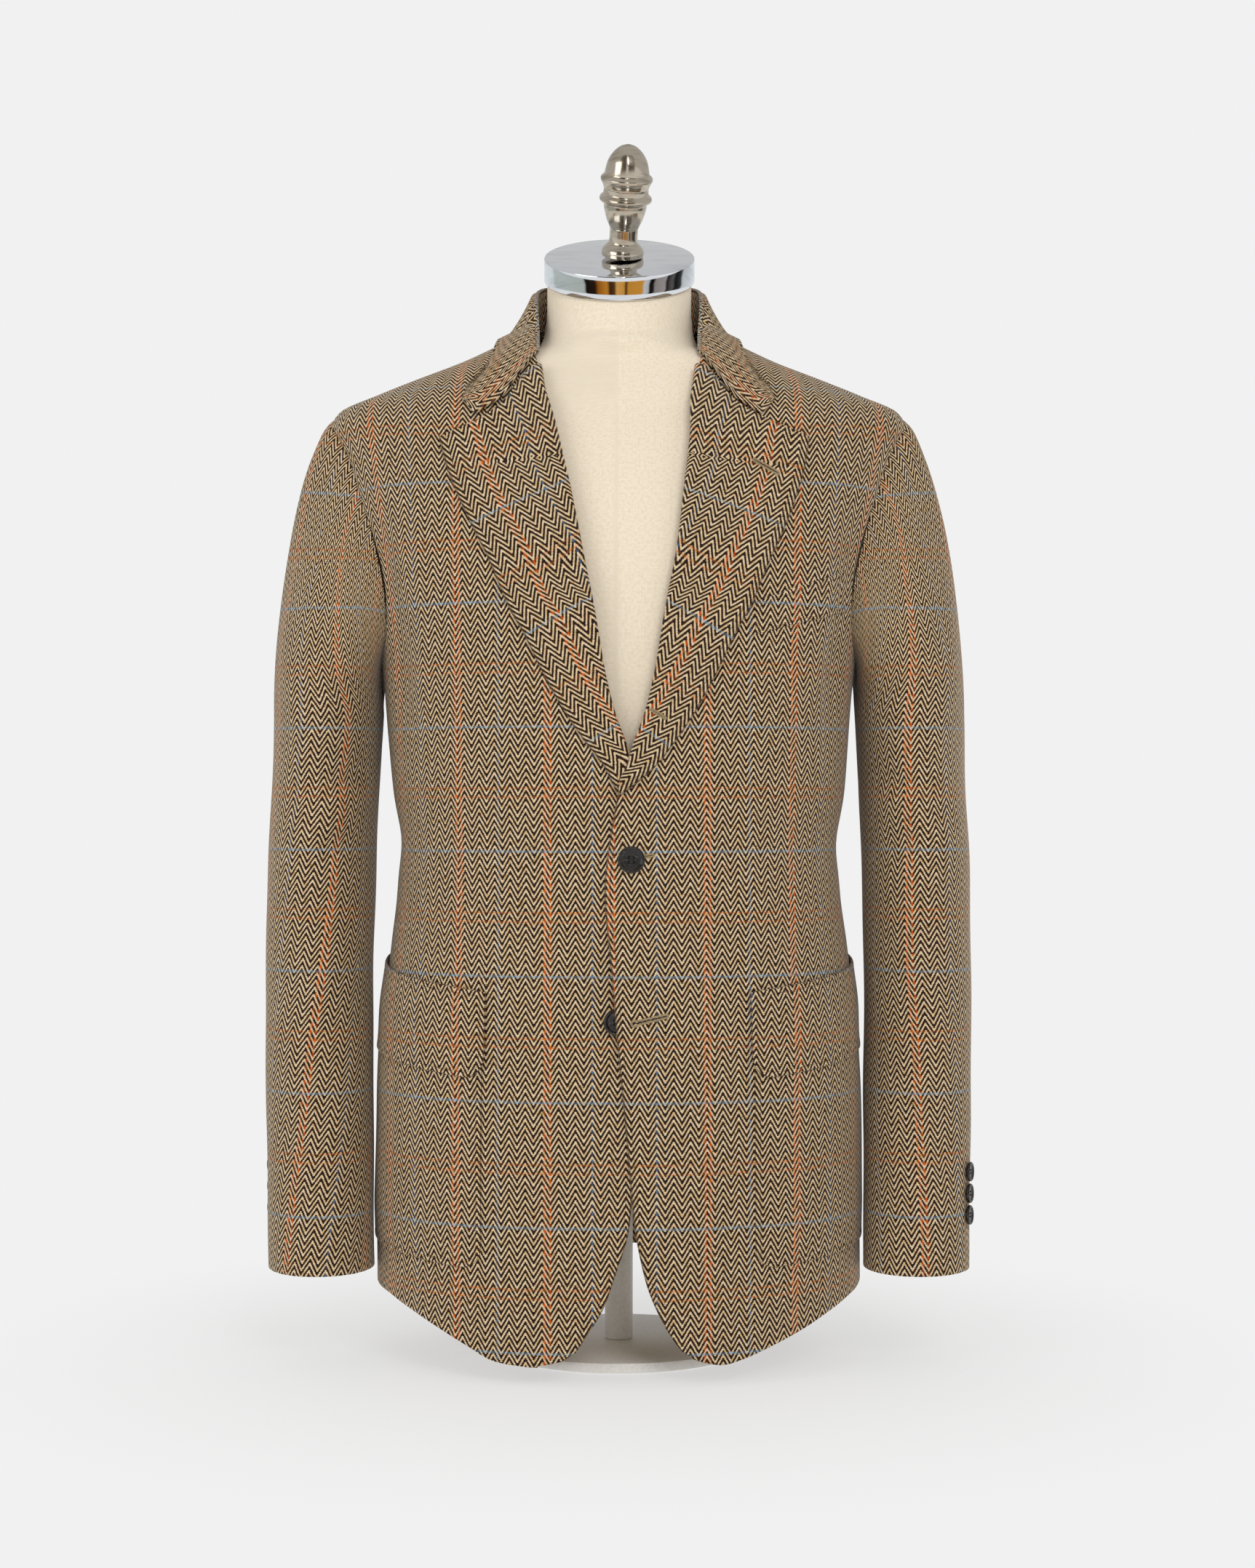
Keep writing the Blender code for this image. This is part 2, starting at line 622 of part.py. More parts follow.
def collar_lines(points=5):
    """The collar's leaf on the wearer's left: one line from fold to edge for each station."""
    share = np.linspace(0, 1, points)
    at = np.linspace(0, 1, len(GORGE))
    half = np.interp(share, at, column(GORGE_COLUMNS, GORGE, "half"))
    height = np.interp(share, at, column(GORGE_COLUMNS, GORGE, "height")) + 2 * SEAM
    gorge = around(front_angle(half, height), height, COLLAR_LIFT)
    ends = [(gorge[0], gorge[-1])]
    for fold_x, fold_y, fold_z, edge_x, edge_y, edge_z in COLLAR:
        edge = np.array([edge_x, edge_y or 0.0, edge_z])
        if edge_y is None:
            edge = around(front_angle(edge_x, edge_z), edge_z, COLLAR_LIFT)
        ends.append((np.array([fold_x, fold_y, fold_z]), edge))
    ends = np.array(ends)
    station = np.arange(len(ends))
    halves = np.arange(0, len(ends) - 0.75, 0.5)
    smooth = [[eased(station, ends[:, end, axis])(halves) for axis in range(3)] for end in (0, 1)]
    lines = []
    for fold, edge in zip(np.transpose(smooth[0]), np.transpose(smooth[1])):
        out = (edge - fold) * [1, 1, 0]
        out /= np.linalg.norm(out)
        sag = COLLAR_SAG * np.sin(share * np.pi)
        line = mix(fold, edge, share[:, None]) - out * sag[:, None]
        lines.append(np.concatenate([line[:1], rest_on_body(line[1:], COLLAR_LIFT)]))
    lines[0] = gorge
    return np.array(lines)


def make_collar():
    half = collar_lines()
    other = mirrored(half[-2::-1], -1)
    grid = np.concatenate([half, other])
    inside = grid * np.array([0.0, 0.0, 1.0]) + np.array([0.0, 0.01, -0.03])
    thickened("collar_leaf", grid, inside)
    # The stand rises from the neck seam to just under the fold, inside the leaf.
    fold = half[4::2, 0]
    turn = np.degrees(np.arctan2(fold[:, 0], -fold[:, 1]))
    rise = np.sin(np.radians(np.clip(turn - 90, -12, 90)))
    seam_height = mix(NECK_POINT, BACK_NECK, rise)
    outward = fold * [1, 1, 0] - [0, NECK_MIDDLE_Y, 0]
    outward /= np.linalg.norm(outward, axis=-1, keepdims=True)
    top = fold - outward * (CLOTH + 2 * SEAM) - [0, 0, STAND_UNDER]
    base = plain_around(turn, seam_height) + [0, 0, STAND_UP] - outward * STAND_IN
    left = np.stack([base, mix(base, top, 0.5), top], axis=1)
    grid = np.concatenate([left, mirrored(left[-2::-1], -1)])
    inside = grid * np.array([0.0, 0.0, 1.0]) + np.array([0.0, 0.01, 0.0])
    thickened("collar_stand", grid, inside)


# ---- sleeves ----
def armhole_point(turn, out):
    """A point of the armhole: turn is -90 at the armpit and 90 at the shoulder point."""
    turn = (np.asarray(turn, float) + 90) % 360 - 90
    front = turn <= 90
    share = np.where(front, (turn + 90) / 180, (270 - turn) / 180)
    height = table(ARMHOLE_COLUMNS, ARMHOLE, "height")(share)
    fore = table(ARMHOLE_COLUMNS, ARMHOLE, "front")(share)
    aft = table(ARMHOLE_COLUMNS, ARMHOLE, "back")(share)
    return around(np.where(front, fore, aft), height, out)


def sleeve_ring(turn, height):
    """The sleeve at one height, as a squared ellipse read at angles from its front."""
    x = table(SLEEVE_COLUMNS, SLEEVE, "x")(height)
    y = table(SLEEVE_COLUMNS, SLEEVE, "y")(height)
    width = table(SLEEVE_COLUMNS, SLEEVE, "half_width")(height)
    depth = table(SLEEVE_COLUMNS, SLEEVE, "half_depth")(height)
    turn = np.radians(turn)
    across, forward = width * np.sin(turn), depth * np.cos(turn)
    return np.stack([x + across, y - forward, height + 0 * turn], axis=-1)


def sleeve_grid(turns):
    """Rows from the armhole over the sleeve head and down to the cuff; turns has a row each."""
    low_heights = sleeve_heights()[CAP_ROWS:]
    leave_head, arrive_head = HEAD_LEAVE, HEAD_ARRIVE
    grid = []
    for t, turn in zip(np.linspace(0, 1, CAP_ROWS), turns[:CAP_ROWS]):
        top = (1 + np.sin(np.radians(turn))) / 2
        facing = np.cos(np.radians(turn))
        start = armhole_point(turn, HEAD_LIFT)
        inwards = ARMHOLE_CENTRE - start
        inwards[:, 0] = 0
        inwards /= np.linalg.norm(inwards, axis=-1, keepdims=True)
        start = start + inwards * 2 * SEAM
        end = sleeve_ring(turn, SLEEVE[0][0])
        leave = np.stack(
            [
                leave_head["low_x"] + leave_head["rise_x"] * top,
                leave_head["y"] * facing,
                leave_head["low_z"] + leave_head["rise_z"] * top,
            ],
            axis=-1,
        )
        arrive = arrive_head["low_z"] + arrive_head["rise_z"] * top
        arrive = np.stack([0 * top, 0 * top, arrive], axis=-1)
        grid.append(
            start * (1 + 2 * t) * (1 - t) ** 2
            + leave * t * (1 - t) ** 2
            + end * t * t * (3 - 2 * t)
            - arrive * t * t * (1 - t)
        )
    for height, turn in zip(low_heights, turns[CAP_ROWS:]):
        grid.append(sleeve_ring(turn, height))
    return np.array(grid)


def sleeve_heights():
    """The height at which each row of a sleeve crosses its seams."""
    head = np.linspace(HEAD_TOP, SLEEVE[0][0], CAP_ROWS)
    return np.concatenate([head, np.linspace(SLEEVE[0][0], SLEEVE[-1][0], LOW_ROWS + 1)[1:]])


def sleeve_walls(turns):
    """The outside and the inside of a sleeve at these angles."""
    grid = sleeve_grid(turns)
    forwards = sleeve_grid(turns + 1) - sleeve_grid(turns - 1)
    normal = np.cross(np.gradient(grid, axis=0), forwards)
    normal /= np.linalg.norm(normal, axis=-1, keepdims=True)
    return grid, grid - normal * CLOTH


def make_sleeves(under_columns=10):
    gap = math.degrees(SEAM / 2 / SLEEVE[0][3])
    heights = sleeve_heights()
    forearm = table(SEAM_COLUMNS, SLEEVE_SEAMS, "forearm")(heights)[:, None]
    crown = table(SEAM_COLUMNS, SLEEVE_SEAMS, "crown")(heights)[:, None]
    for name, side in (("left", 1), ("right", -1)):
        hindarm = table(SEAM_COLUMNS, SLEEVE_SEAMS, f"hindarm_{name}")(heights)[:, None]
        before = mix(forearm + gap, crown, np.array(BEFORE_CROWN))
        behind = mix(crown, hindarm - gap, np.array(BEHIND_CROWN))
        upper = np.concatenate([before, behind], axis=1)
        under = mix(hindarm + gap, forearm + 360 - gap, np.linspace(0, 1, under_columns))
        for piece, turns in (("sleeve_upper", upper), ("sleeve_under", under)):
            outer, inner = sleeve_walls(turns)
            shell(f"{piece}_{name}", mirrored(outer, side), mirrored(inner, side))


# ---- pockets ----
def pocket_grid(angles, top, bottom, columns, rows, lower_corner):
    """Angles and heights of a pocket whose lower corners are rounded."""
    share = np.linspace(0, 1, columns)
    angle = mix(angles[0], angles[1], share)
    width = math.radians(angles[1] - angles[0]) * BODY_REACH
    from_end = np.minimum(share, 1 - share) * width
    near = np.clip(lower_corner - from_end, 0, lower_corner)
    raised = lower_corner - np.sqrt(lower_corner**2 - near**2)
    high = mix(top[0], top[1], share)
    low = mix(bottom[0], bottom[1], share) + raised
    down = np.linspace(0, 1, rows)[:, None]
    return angle + 0 * down, mix(low, high, down)


def make_pockets():
    flap_bottom = (FLAP_TOP[0] - FLAP_DEPTH, FLAP_TOP[1] - FLAP_DEPTH)
    patch = pocket_grid(PATCH_ANGLES, PATCH_TOP, PATCH_BOTTOM, 10, 8, POCKET_CORNER)
    flap = pocket_grid(FLAP_ANGLES, FLAP_TOP, flap_bottom, 10, 4, POCKET_CORNER)
    for name, side in (("left", 1), ("right", -1)):
        body_shell(f"pocket_patch_{name}", *patch, LAY + CLOTH, side)
        body_shell(f"pocket_flap_{name}", *flap, 2 * (LAY + CLOTH), side)
    share = np.linspace(0, 1, 6)
    down = np.linspace(0, 1, 3)[:, None]
    height = mix(mix(*WELT_BOTTOM, share), mix(*WELT_TOP, share), down)
    x = mix(mix(*WELT_BOTTOM_X, share), mix(*WELT_TOP_X, share), down)
    body_shell("breast_welt", front_angle(x, height), height, LAY + CLOTH, 1)


# ---- buttons ----
def make_button(name, point, normal, diameter):
    seat = point + normal * BUTTON_SEAT[diameter]
    outline = [(high * BUTTON_THICK, wide * diameter / 2) for high, wide in BUTTON_OUTLINE]
    turned(name, outline, seat, normal, "horn", 16)


def make_buttons():
    spots = (
        ("button_front_top", BUTTON_X, TOP_BUTTON_Z, float(overlap(BUTTON_X, TOP_BUTTON_Z))),
        ("button_front_low", LOW_BUTTON_X, LOW_BUTTON_Z, 0.0),
    )
    for name, x, height, out in spots:
        angle = float(front_angle(x, height))
        low = around(angle, height, out)
        high = around(angle, height, out + 0.01)
        make_button(name, low, (high - low) / 0.01, BUTTON_FRONT)
    lines = (("left", 1, CUFF_BUTTON_LEFT), ("right", -1, CUFF_BUTTON_RIGHT))
    for side_name, side, turn in lines:
        for number, height in enumerate(CUFF_BUTTONS):
            ring = sleeve_ring(np.array([turn - 1, turn, turn + 1]), height)
            above = sleeve_ring(turn, height + 0.001)
            normal = np.cross(above - ring[1], ring[2] - ring[0])
            normal *= np.sign(normal[0]) / np.linalg.norm(normal)
            make_button(
                f"button_cuff_{side_name}_{number + 1}",
                mirrored(ring[1], side),
                mirrored(normal, side),
                BUTTON_CUFF,
            )


# ---- dress form and stand ----
def form_ring(angles, height):
    """The form inside the jacket at one height, drawn in where it passes the armholes."""
    gap = mix(FORM_GAP, FORM_SHOULDER_GAP, float(soft_step(height, *SHOULDER_REST)))
    ring = around(angles, height, -gap)
    beyond = np.maximum(np.abs(ring[:, 0]) - FORM_SHOULDER, 0)
    kept = FORM_SHOULDER_REACH * np.tanh(beyond / FORM_SHOULDER_REACH)
    ring[:, 0] -= np.sign(ring[:, 0]) * (beyond - kept)
    return ring


def make_form(segments=36, rows=16):
    angles = np.linspace(0, 360, segments, endpoint=False)
    axis = np.array([0.0, -math.sin(CAP_TILT), math.cos(CAP_TILT)])
    top = np.array(CAP_TOP) - axis * (CAP_BAND + SEAM)
    levels = list(np.linspace(FORM_BOTTOM + FORM_HEM, FORM_YOKE, rows)) + list(FORM_SLOPE)
    rings = [around(angles, levels[0], -FORM_GAP - FORM_TURN_IN) * [1, 1, 0] + [0, 0, FORM_BOTTOM]]
    rings += [form_ring(angles, height) for height in levels]
    turn = np.radians(angles)[:, None]
    sideways = np.array([1.0, 0.0, 0.0])
    for share, radius in NECK_RINGS:
        tilt = CAP_TILT * share
        centre = mix(np.array(NECK_FOOT), top, share)
        forward = np.array([0.0, -math.cos(tilt), -math.sin(tilt)])
        rings.append(centre + radius * (np.sin(turn) * sideways + np.cos(turn) * forward))
    loft("form_torso", rings, "linen")
    band = (
        (0.0, CAP_RADIUS - CAP_EDGE),
        (CAP_EDGE, CAP_RADIUS),
        (CAP_BAND - CAP_EDGE, CAP_RADIUS),
        (CAP_BAND, CAP_RADIUS - CAP_EDGE),
    )
    turned("neck_cap", band, top + axis * SEAM, axis, "chrome", 40)
    lean = np.array([math.sin(FINIAL_LEAN), 0.0, 0.0])
    foot = max(radius for height, radius in FINIAL if height < FINIAL_FOOT)
    seat = np.array(CAP_TOP) + [FINIAL_X, 0, 0] + axis * (SEAM + foot * FINIAL_LEAN)
    turned("finial", FINIAL, seat, axis + lean, "nickel", 28)


def make_stand():
    up = (0.0, 0.0, 1.0)
    base = (
        (0.0, BASE_RADIUS - BASE_EDGE),
        (BASE_EDGE, BASE_RADIUS),
        (BASE_THICK - BASE_EDGE, BASE_RADIUS),
        (BASE_THICK, BASE_RADIUS - BASE_EDGE),
    )
    turned("stand_base", base, (0, STAND_Y, 0), up, "paint", 40)
    length = FORM_BOTTOM - BASE_THICK - 2 * SEAM
    pole = ((0.0, POLE_RADIUS), (length, POLE_RADIUS))
    turned("stand_pole", pole, (0, STAND_Y, BASE_THICK + SEAM), up, "paint", 20)


def main():
    for old in list(bpy.data.objects):
        bpy.data.objects.remove(old, do_unlink=True)
    make_form()
    make_stand()
    make_fronts()
    make_backs()
    make_lapels()
    make_collar()
    make_sleeves()
    make_pockets()
    make_buttons()
    for piece in bpy.context.scene.collection.objects:
        piece.location.y = SHIFT_Y


main()
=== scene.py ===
# %% [markdown]
# # A tweed hacking jacket on a dress form
#
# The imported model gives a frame: plain closed solids in metres, +Z up, the jacket facing -Y and the
# wearer's left at +X. Here each plain solid is replaced by a finer piece that lies in the same
# place, cut from cloth that has a weave, a check, rolled edges, stitching and soft creases.

# %% Load the frame
import math

import bmesh
import bpy
import numpy as np
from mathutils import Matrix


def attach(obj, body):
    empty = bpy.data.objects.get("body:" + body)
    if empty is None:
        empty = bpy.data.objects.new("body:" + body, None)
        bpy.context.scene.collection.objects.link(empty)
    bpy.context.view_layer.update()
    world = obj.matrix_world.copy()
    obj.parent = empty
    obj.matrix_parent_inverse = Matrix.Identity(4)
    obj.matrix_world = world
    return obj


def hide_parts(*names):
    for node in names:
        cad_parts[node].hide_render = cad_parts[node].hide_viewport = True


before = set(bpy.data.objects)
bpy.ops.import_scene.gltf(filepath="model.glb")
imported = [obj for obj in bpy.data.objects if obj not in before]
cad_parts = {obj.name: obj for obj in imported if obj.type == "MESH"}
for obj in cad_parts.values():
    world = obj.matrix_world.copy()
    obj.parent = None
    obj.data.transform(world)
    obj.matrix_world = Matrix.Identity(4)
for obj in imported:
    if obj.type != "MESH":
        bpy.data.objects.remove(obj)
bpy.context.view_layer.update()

print("frame loaded:", len(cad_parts), "nodes")

# %% [markdown]
# ## The cut of the jacket
#
# A tailor keeps a draft: a few widths and depths at named heights, and curves drawn through them.
# These short tables are that draft, the same one that the plain solids were made from, so every
# fine piece lands on its solid. Lengths are in metres and angles in degrees, from the centre front
# (0) over the side (90) to the centre back (180).

# %% Sizes
CLOTH = 0.0018  # one layer of tweed
LAY = 0.0011  # gap under a piece that lies on a panel
SEAM = 0.0003  # gap between pieces that meet at a seam
SHIFT_Y = 0.00188  # the whole draft is moved by this
SECTION_POWER = 2.35  # 2 is an ellipse, more is squarer
FRONT_CENTRE = 0.0085
ARMPIT, SHOULDER_POINT, NECK_POINT, BACK_NECK = 0.536, 0.7345, 0.797, 0.810
FRONT_AT_SHOULDER, BACK_AT_SHOULDER = 0.726, 0.745
HEM_REACH = 0.25
OVERLAP_X, OVERLAP_Z = (0.035, 0.090), (0.465, 0.530)
SWELL, SWELL_WIDE, SWELL_HIGH = 0.0052, 0.028, 0.040
LOW_BUTTON_X, LOW_BUTTON_Z = -0.0008, 0.2695
TOP_BUTTON_X, TOP_BUTTON_Z = 0.0096, 0.389
print("cloth", CLOTH * 1000, "mm thick; armpit at", ARMPIT, "m")

# %% The draft
BODY_COLUMNS = ("height", "half_width", "front", "back")
BODY = (
    (0.000, 0.1885, 0.1380, 0.142),
    (0.100, 0.1885, 0.1380, 0.140),
    (0.200, 0.1870, 0.1380, 0.134),
    (0.270, 0.1835, 0.1365, 0.126),
    (0.320, 0.1780, 0.1345, 0.120),
    (0.360, 0.1730, 0.1320, 0.1155),
    (0.400, 0.1712, 0.1310, 0.113),
    (0.440, 0.1762, 0.1320, 0.1145),
    (0.480, 0.1795, 0.1345, 0.119),
    (0.540, 0.1850, 0.1370, 0.127),
    (0.600, 0.1960, 0.1340, 0.133),
    (0.660, 0.2090, 0.1210, 0.131),
    (0.700, 0.2190, 0.1040, 0.121),
    (0.722, 0.2265, 0.0920, 0.110),
    (0.7345, 0.2195, 0.0840, 0.103),
    (0.7475, 0.1915, 0.0760, 0.0955),
    (0.7605, 0.1595, 0.0680, 0.087),
    (0.774, 0.1245, 0.0610, 0.080),
    (0.788, 0.0945, 0.0550, 0.0745),
    (0.800, 0.0700, 0.0500, 0.0705),
    (0.815, 0.0450, 0.0460, 0.067),
)

# The edge of each front, from the rounded corner at the hem to the end of the opening.
EDGE_COLUMNS = ("height", "left", "right")
FRONT_EDGE = (
    (0.0150, 0.0780, -0.0600),
    (0.0180, 0.0640, -0.0440),
    (0.0233, 0.0510, -0.0335),
    (0.0360, 0.0400, -0.0245),
    (0.0577, 0.0280, -0.0110),
    (0.0790, 0.0200, -0.0032),
    (0.1200, 0.0118, 0.0086),
    (0.1857, 0.0059, 0.0130),
    (0.2475, 0.0000, 0.0160),
    (0.3156, -0.0059, 0.0210),
    (0.3670, -0.0102, 0.0260),
    (0.3910, -0.0080, 0.0265),
    (0.4375, 0.0000, 0.0200),
    (0.4570, 0.0064, 0.0070),
)

# Half the width of the opening above it: the line on which each lapel rolls over.
OPENING_COLUMNS = ("height", "half")
OPENING = (
    (0.4570, 0.0000),
    (0.4750, 0.0050),
    (0.4990, 0.0137),
    (0.5290, 0.0210),
    (0.5600, 0.0262),
    (0.6120, 0.0361),
    (0.6650, 0.0447),
    (0.7026, 0.0514),
    (0.7428, 0.0580),
    (0.7700, 0.0625),
    (0.7800, 0.0710),
)

# Height of the hem by angle.
HEM_COLUMNS = ("angle", "left", "right")
HEM = (
    (0.0, 0.0150, 0.0137),
    (24.0, 0.0152, 0.0137),
    (31.0, 0.0155, 0.0150),
    (36.0, 0.0185, 0.0171),
    (44.0, 0.0265, 0.0280),
    (53.0, 0.0365, 0.0400),
    (63.0, 0.0480, 0.0510),
    (72.0, 0.0555, 0.0573),
    (90.0, 0.0615, 0.0605),
    (110.0, 0.0625, 0.0625),
    (180.0, 0.0620, 0.0620),
)
# The armhole, from the armpit up to the shoulder point, as angles on the body.
ARMHOLE_COLUMNS = ("share", "height", "front", "back")
ARMHOLE = (
    (0.00, 0.5360, 92.0, 92.0),
    (0.10, 0.5410, 83.0, 100.0),
    (0.25, 0.5620, 73.5, 106.5),
    (0.40, 0.5950, 71.0, 108.5),
    (0.55, 0.6320, 73.0, 108.0),
    (0.70, 0.6680, 76.5, 105.5),
    (0.85, 0.7030, 80.5, 101.0),
    (0.95, 0.7270, 85.5, 95.5),
    (1.00, 0.7345, 90.0, 90.0),
)
SIDE_SEAM_COLUMNS = ("height", "turn")
SIDE_SEAM = ((0.0, 108.0), (0.20, 107.0), (0.30, 104.0), (0.45, 97.0), (0.536, 92.0))

# The sleeve below the armpit.
SLEEVE_COLUMNS = ("height", "x", "y", "half_width", "half_depth")
SLEEVE = (
    (0.500, 0.2275, 0.000, 0.0425, 0.0740),
    (0.440, 0.2300, -0.001, 0.0415, 0.0700),
    (0.380, 0.2325, -0.004, 0.0420, 0.0650),
    (0.300, 0.2335, -0.010, 0.0415, 0.0585),
    (0.250, 0.2330, -0.016, 0.0415, 0.0555),
    (0.200, 0.2318, -0.022, 0.0415, 0.0525),
    (0.120, 0.2302, -0.033, 0.0407, 0.0490),
    (0.073, 0.2290, -0.040, 0.0407, 0.0478),
)

# The sleeve's two seams, as angles from its front, and the line of its cuff buttons.
# The crown runs down from the shoulder point.
SEAM_COLUMNS = ("height", "hindarm_left", "hindarm_right", "forearm", "crown")
SLEEVE_SEAMS = (
    (0.700, 162.0, 162.0, -72.0, 90.0),
    (0.500, 138.0, 142.0, -98.0, 66.0),
    (0.300, 100.0, 134.0, -108.0, 40.0),
    (0.073, 82.0, 130.0, -108.0, 24.0),
)
# The lapel: its roll line and its outer edge, as distances from the centre front.
# Distance from the middle and height of the roll line, then of the outer edge.
LAPEL = (
    (0.0005, 0.4590, 0.0195, 0.4590),
    (0.0050, 0.4750, 0.0350, 0.4790),
    (0.0137, 0.4990, 0.0520, 0.5050),
    (0.0210, 0.5290, 0.0655, 0.5300),
    (0.0262, 0.5600, 0.0785, 0.5570),
    (0.0310, 0.5870, 0.0915, 0.5810),
    (0.0361, 0.6120, 0.1030, 0.6090),
    (0.0408, 0.6400, 0.1150, 0.6340),
    (0.0447, 0.6650, 0.1262, 0.6600),
    (0.0492, 0.6900, 0.1345, 0.6840),
    (0.0525, 0.7100, 0.1395, 0.7065),
    (0.0545, 0.7240, 0.1235, 0.7135),
    (0.0562, 0.7340, 0.1075, 0.7205),
    (0.0585, 0.7460, 0.0885, 0.7335),
    (0.0605, 0.7620, 0.0700, 0.7600),
)
LAPEL_TIP_LEFT = (-0.0085, 0.4420, -0.0062, 0.4365)
LAPEL_TIP_RIGHT = (0.0075, 0.4420, 0.0098, 0.4385)

# The collar's leaf: its fold at the top and its outer edge, from the gorge to the back.
# A point of the fold, then one of the outer edge; with no y, the edge lies on the body.
COLLAR = (
    (0.0645, -0.032, 0.797, 0.1144, None, 0.7433),
    (0.0665, -0.013, 0.815, 0.1065, None, 0.7522),
    (0.0672, 0.004, 0.828, 0.0995, None, 0.7640),
    (0.0660, 0.022, 0.836, 0.0945, -0.0190, 0.7790),
    (0.0600, 0.042, 0.842, 0.0965, 0.0110, 0.7890),
    (0.0480, 0.058, 0.845, 0.0880, 0.0440, 0.7890),
    (0.0260, 0.070, 0.847, 0.0480, 0.0790, 0.7930),
    (0.0000, 0.074, 0.8475, 0.0000, 0.0890, 0.7965),
)
COLLAR_LIFT = 0.0045  # from the body to the outside of the collar
GORGE_COLUMNS = ("half", "height")
GORGE = (
    (0.0622, 0.7745),
    (0.0705, 0.7620),
    (0.0888, 0.7350),
    (0.1075, 0.7225),
    (0.1185, 0.7356),
)

# Hip pockets by angle, and the breast welt by distance from the middle.
PATCH_ANGLES = (39.5, 94.0)
PATCH_TOP = (0.2840, 0.3020)
PATCH_BOTTOM = (0.0840, 0.0975)
FLAP_ANGLES = (38.8, 95.5)
FLAP_TOP = (0.2905, 0.3105)
FLAP_DEPTH = 0.0655
POCKET_CORNER = 0.0180
WELT_TOP_X = (0.1040, 0.1725)
WELT_BOTTOM_X = (0.0965, 0.1740)
WELT_TOP = (0.5815, 0.6067)
WELT_BOTTOM = (0.5545, 0.5760)

# Turned outline of the finial, from its foot to its tip.
# Height and radius of each turned ring.
FINIAL = (
    (0.0000, 0.0150),
    (0.0008, 0.0163),
    (0.0035, 0.0165),
    (0.0060, 0.0158),
    (0.0090, 0.0132),
    (0.0113, 0.0114),
    (0.0160, 0.0110),
    (0.0214, 0.0110),
    (0.0250, 0.0123),
    (0.0298, 0.0143),
    (0.0383, 0.0166),
    (0.0417, 0.0170),
    (0.0435, 0.0198),
    (0.0450, 0.0204),
    (0.0468, 0.0200),
    (0.0493, 0.0177),
    (0.0530, 0.0174),
    (0.0568, 0.0186),
    (0.0600, 0.0202),
    (0.0615, 0.0202),
    (0.0649, 0.0174),
    (0.0668, 0.0171),
    (0.0740, 0.0154),
    (0.0817, 0.0107),
    (0.0858, 0.0056),
    (0.0872, 0.0015),
)

print("rows of the draft:", len(BODY) + len(LAPEL) + len(COLLAR))


# %% [markdown]
# ## Curves through a table
#
# A spline that overshoots would put bumps between the rows of a draft. This one is a cubic whose
# slope at each row is the harmonic mean of its neighbours' slopes, so it never passes a row's value.
# Corners that must stay sharp, such as a lapel's, are joints between two such curves.

# %% Curve tools
def eased(xs, ys):
    """y(x): on each interval, ends blended by 1-3t^2+2t^3, slopes by the harmonic mean."""
    xs, ys = np.asarray(xs, float), np.asarray(ys, float)
    steps, slopes = np.diff(xs), np.diff(ys) / np.diff(xs)
    inner = np.zeros(len(xs))
    same, total = slopes[:-1] * slopes[1:] > 0, slopes[:-1] + slopes[1:]
    inner[1:-1] = np.where(same, 2 * slopes[:-1] * slopes[1:] / np.where(same, total, 1), 0)
    inner[0], inner[-1] = slopes[0], slopes[-1]

    def value(x):
        """The cubic of the interval that x is in."""
        x = np.clip(np.asarray(x, float), xs[0], xs[-1])
        i = np.clip(np.searchsorted(xs, x, side="right") - 1, 0, len(xs) - 2)
        t = (x - xs[i]) / steps[i]
        ends = ys[i] * (1 + 2 * t) * (1 - t) ** 2 + ys[i + 1] * t * t * (3 - 2 * t)
        return ends + steps[i] * t * (1 - t) * (inner[i] * (1 - t) - inner[i + 1] * t)

    return value


def column(columns, rows, name):
    """One named column of a table."""
    return np.array([row[columns.index(name)] for row in rows], float)


def table(columns, rows, name):
    """The named column as a smooth function of the first one."""
    first = column(columns, rows, columns[0])
    order = np.argsort(first)
    return eased(first[order], column(columns, rows, name)[order])


def mix(a, b, t):
    """a + (b - a) t."""
    return a + (b - a) * t


def soft_step(x, low, high):
    """0 below low, 1 above high, and 3t^2-2t^3 between."""
    t = np.clip((x - low) / (high - low), 0, 1)
    return t * t * (3 - 2 * t)


def bell(x, width):
    """e to the power -(x / width)^2."""
    return np.exp(-((x / width) ** 2))


def unit(vectors):
    """Each vector divided by its length."""
    return vectors / np.linalg.norm(vectors, axis=-1, keepdims=True)


def curve_through(points, at, corners=()):
    """Each coordinate of the points eased over their number, with a break at each corner."""
    points = np.asarray(points, float)
    stops = [0, *corners, len(points) - 1]
    out = np.zeros(np.shape(at) + (points.shape[1],))
    for low, high in zip(stops, stops[1:]):
        inside = (at >= low) & (at <= high)
        for axis in range(points.shape[1]):
            line = eased(np.arange(low, high + 1), points[low : high + 1, axis])
            out[inside, axis] = line(np.asarray(at)[inside])
    return out


print("curve check:", float(eased((0, 1, 2), (0, 1, 1))(1.5)))

# %% [markdown]
# ## The body of the jacket as one surface
#
# Every panel is a stretch of one closed form. At each height it is a squared ellipse, with one
# depth for the front half and one for the back. A point is read along the ray at its angle, and is
# then moved out along the surface's own normal for layers, folds and rolled edges.

# %% The body's surface
half_width = table(BODY_COLUMNS, BODY, "half_width")
front_depth = table(BODY_COLUMNS, BODY, "front")
back_depth = table(BODY_COLUMNS, BODY, "back")
centre_shift = eased((0.0, 0.60, 0.707, 0.745, 0.90), (1.0, 1.0, 0.5, 0.0, 0.0))


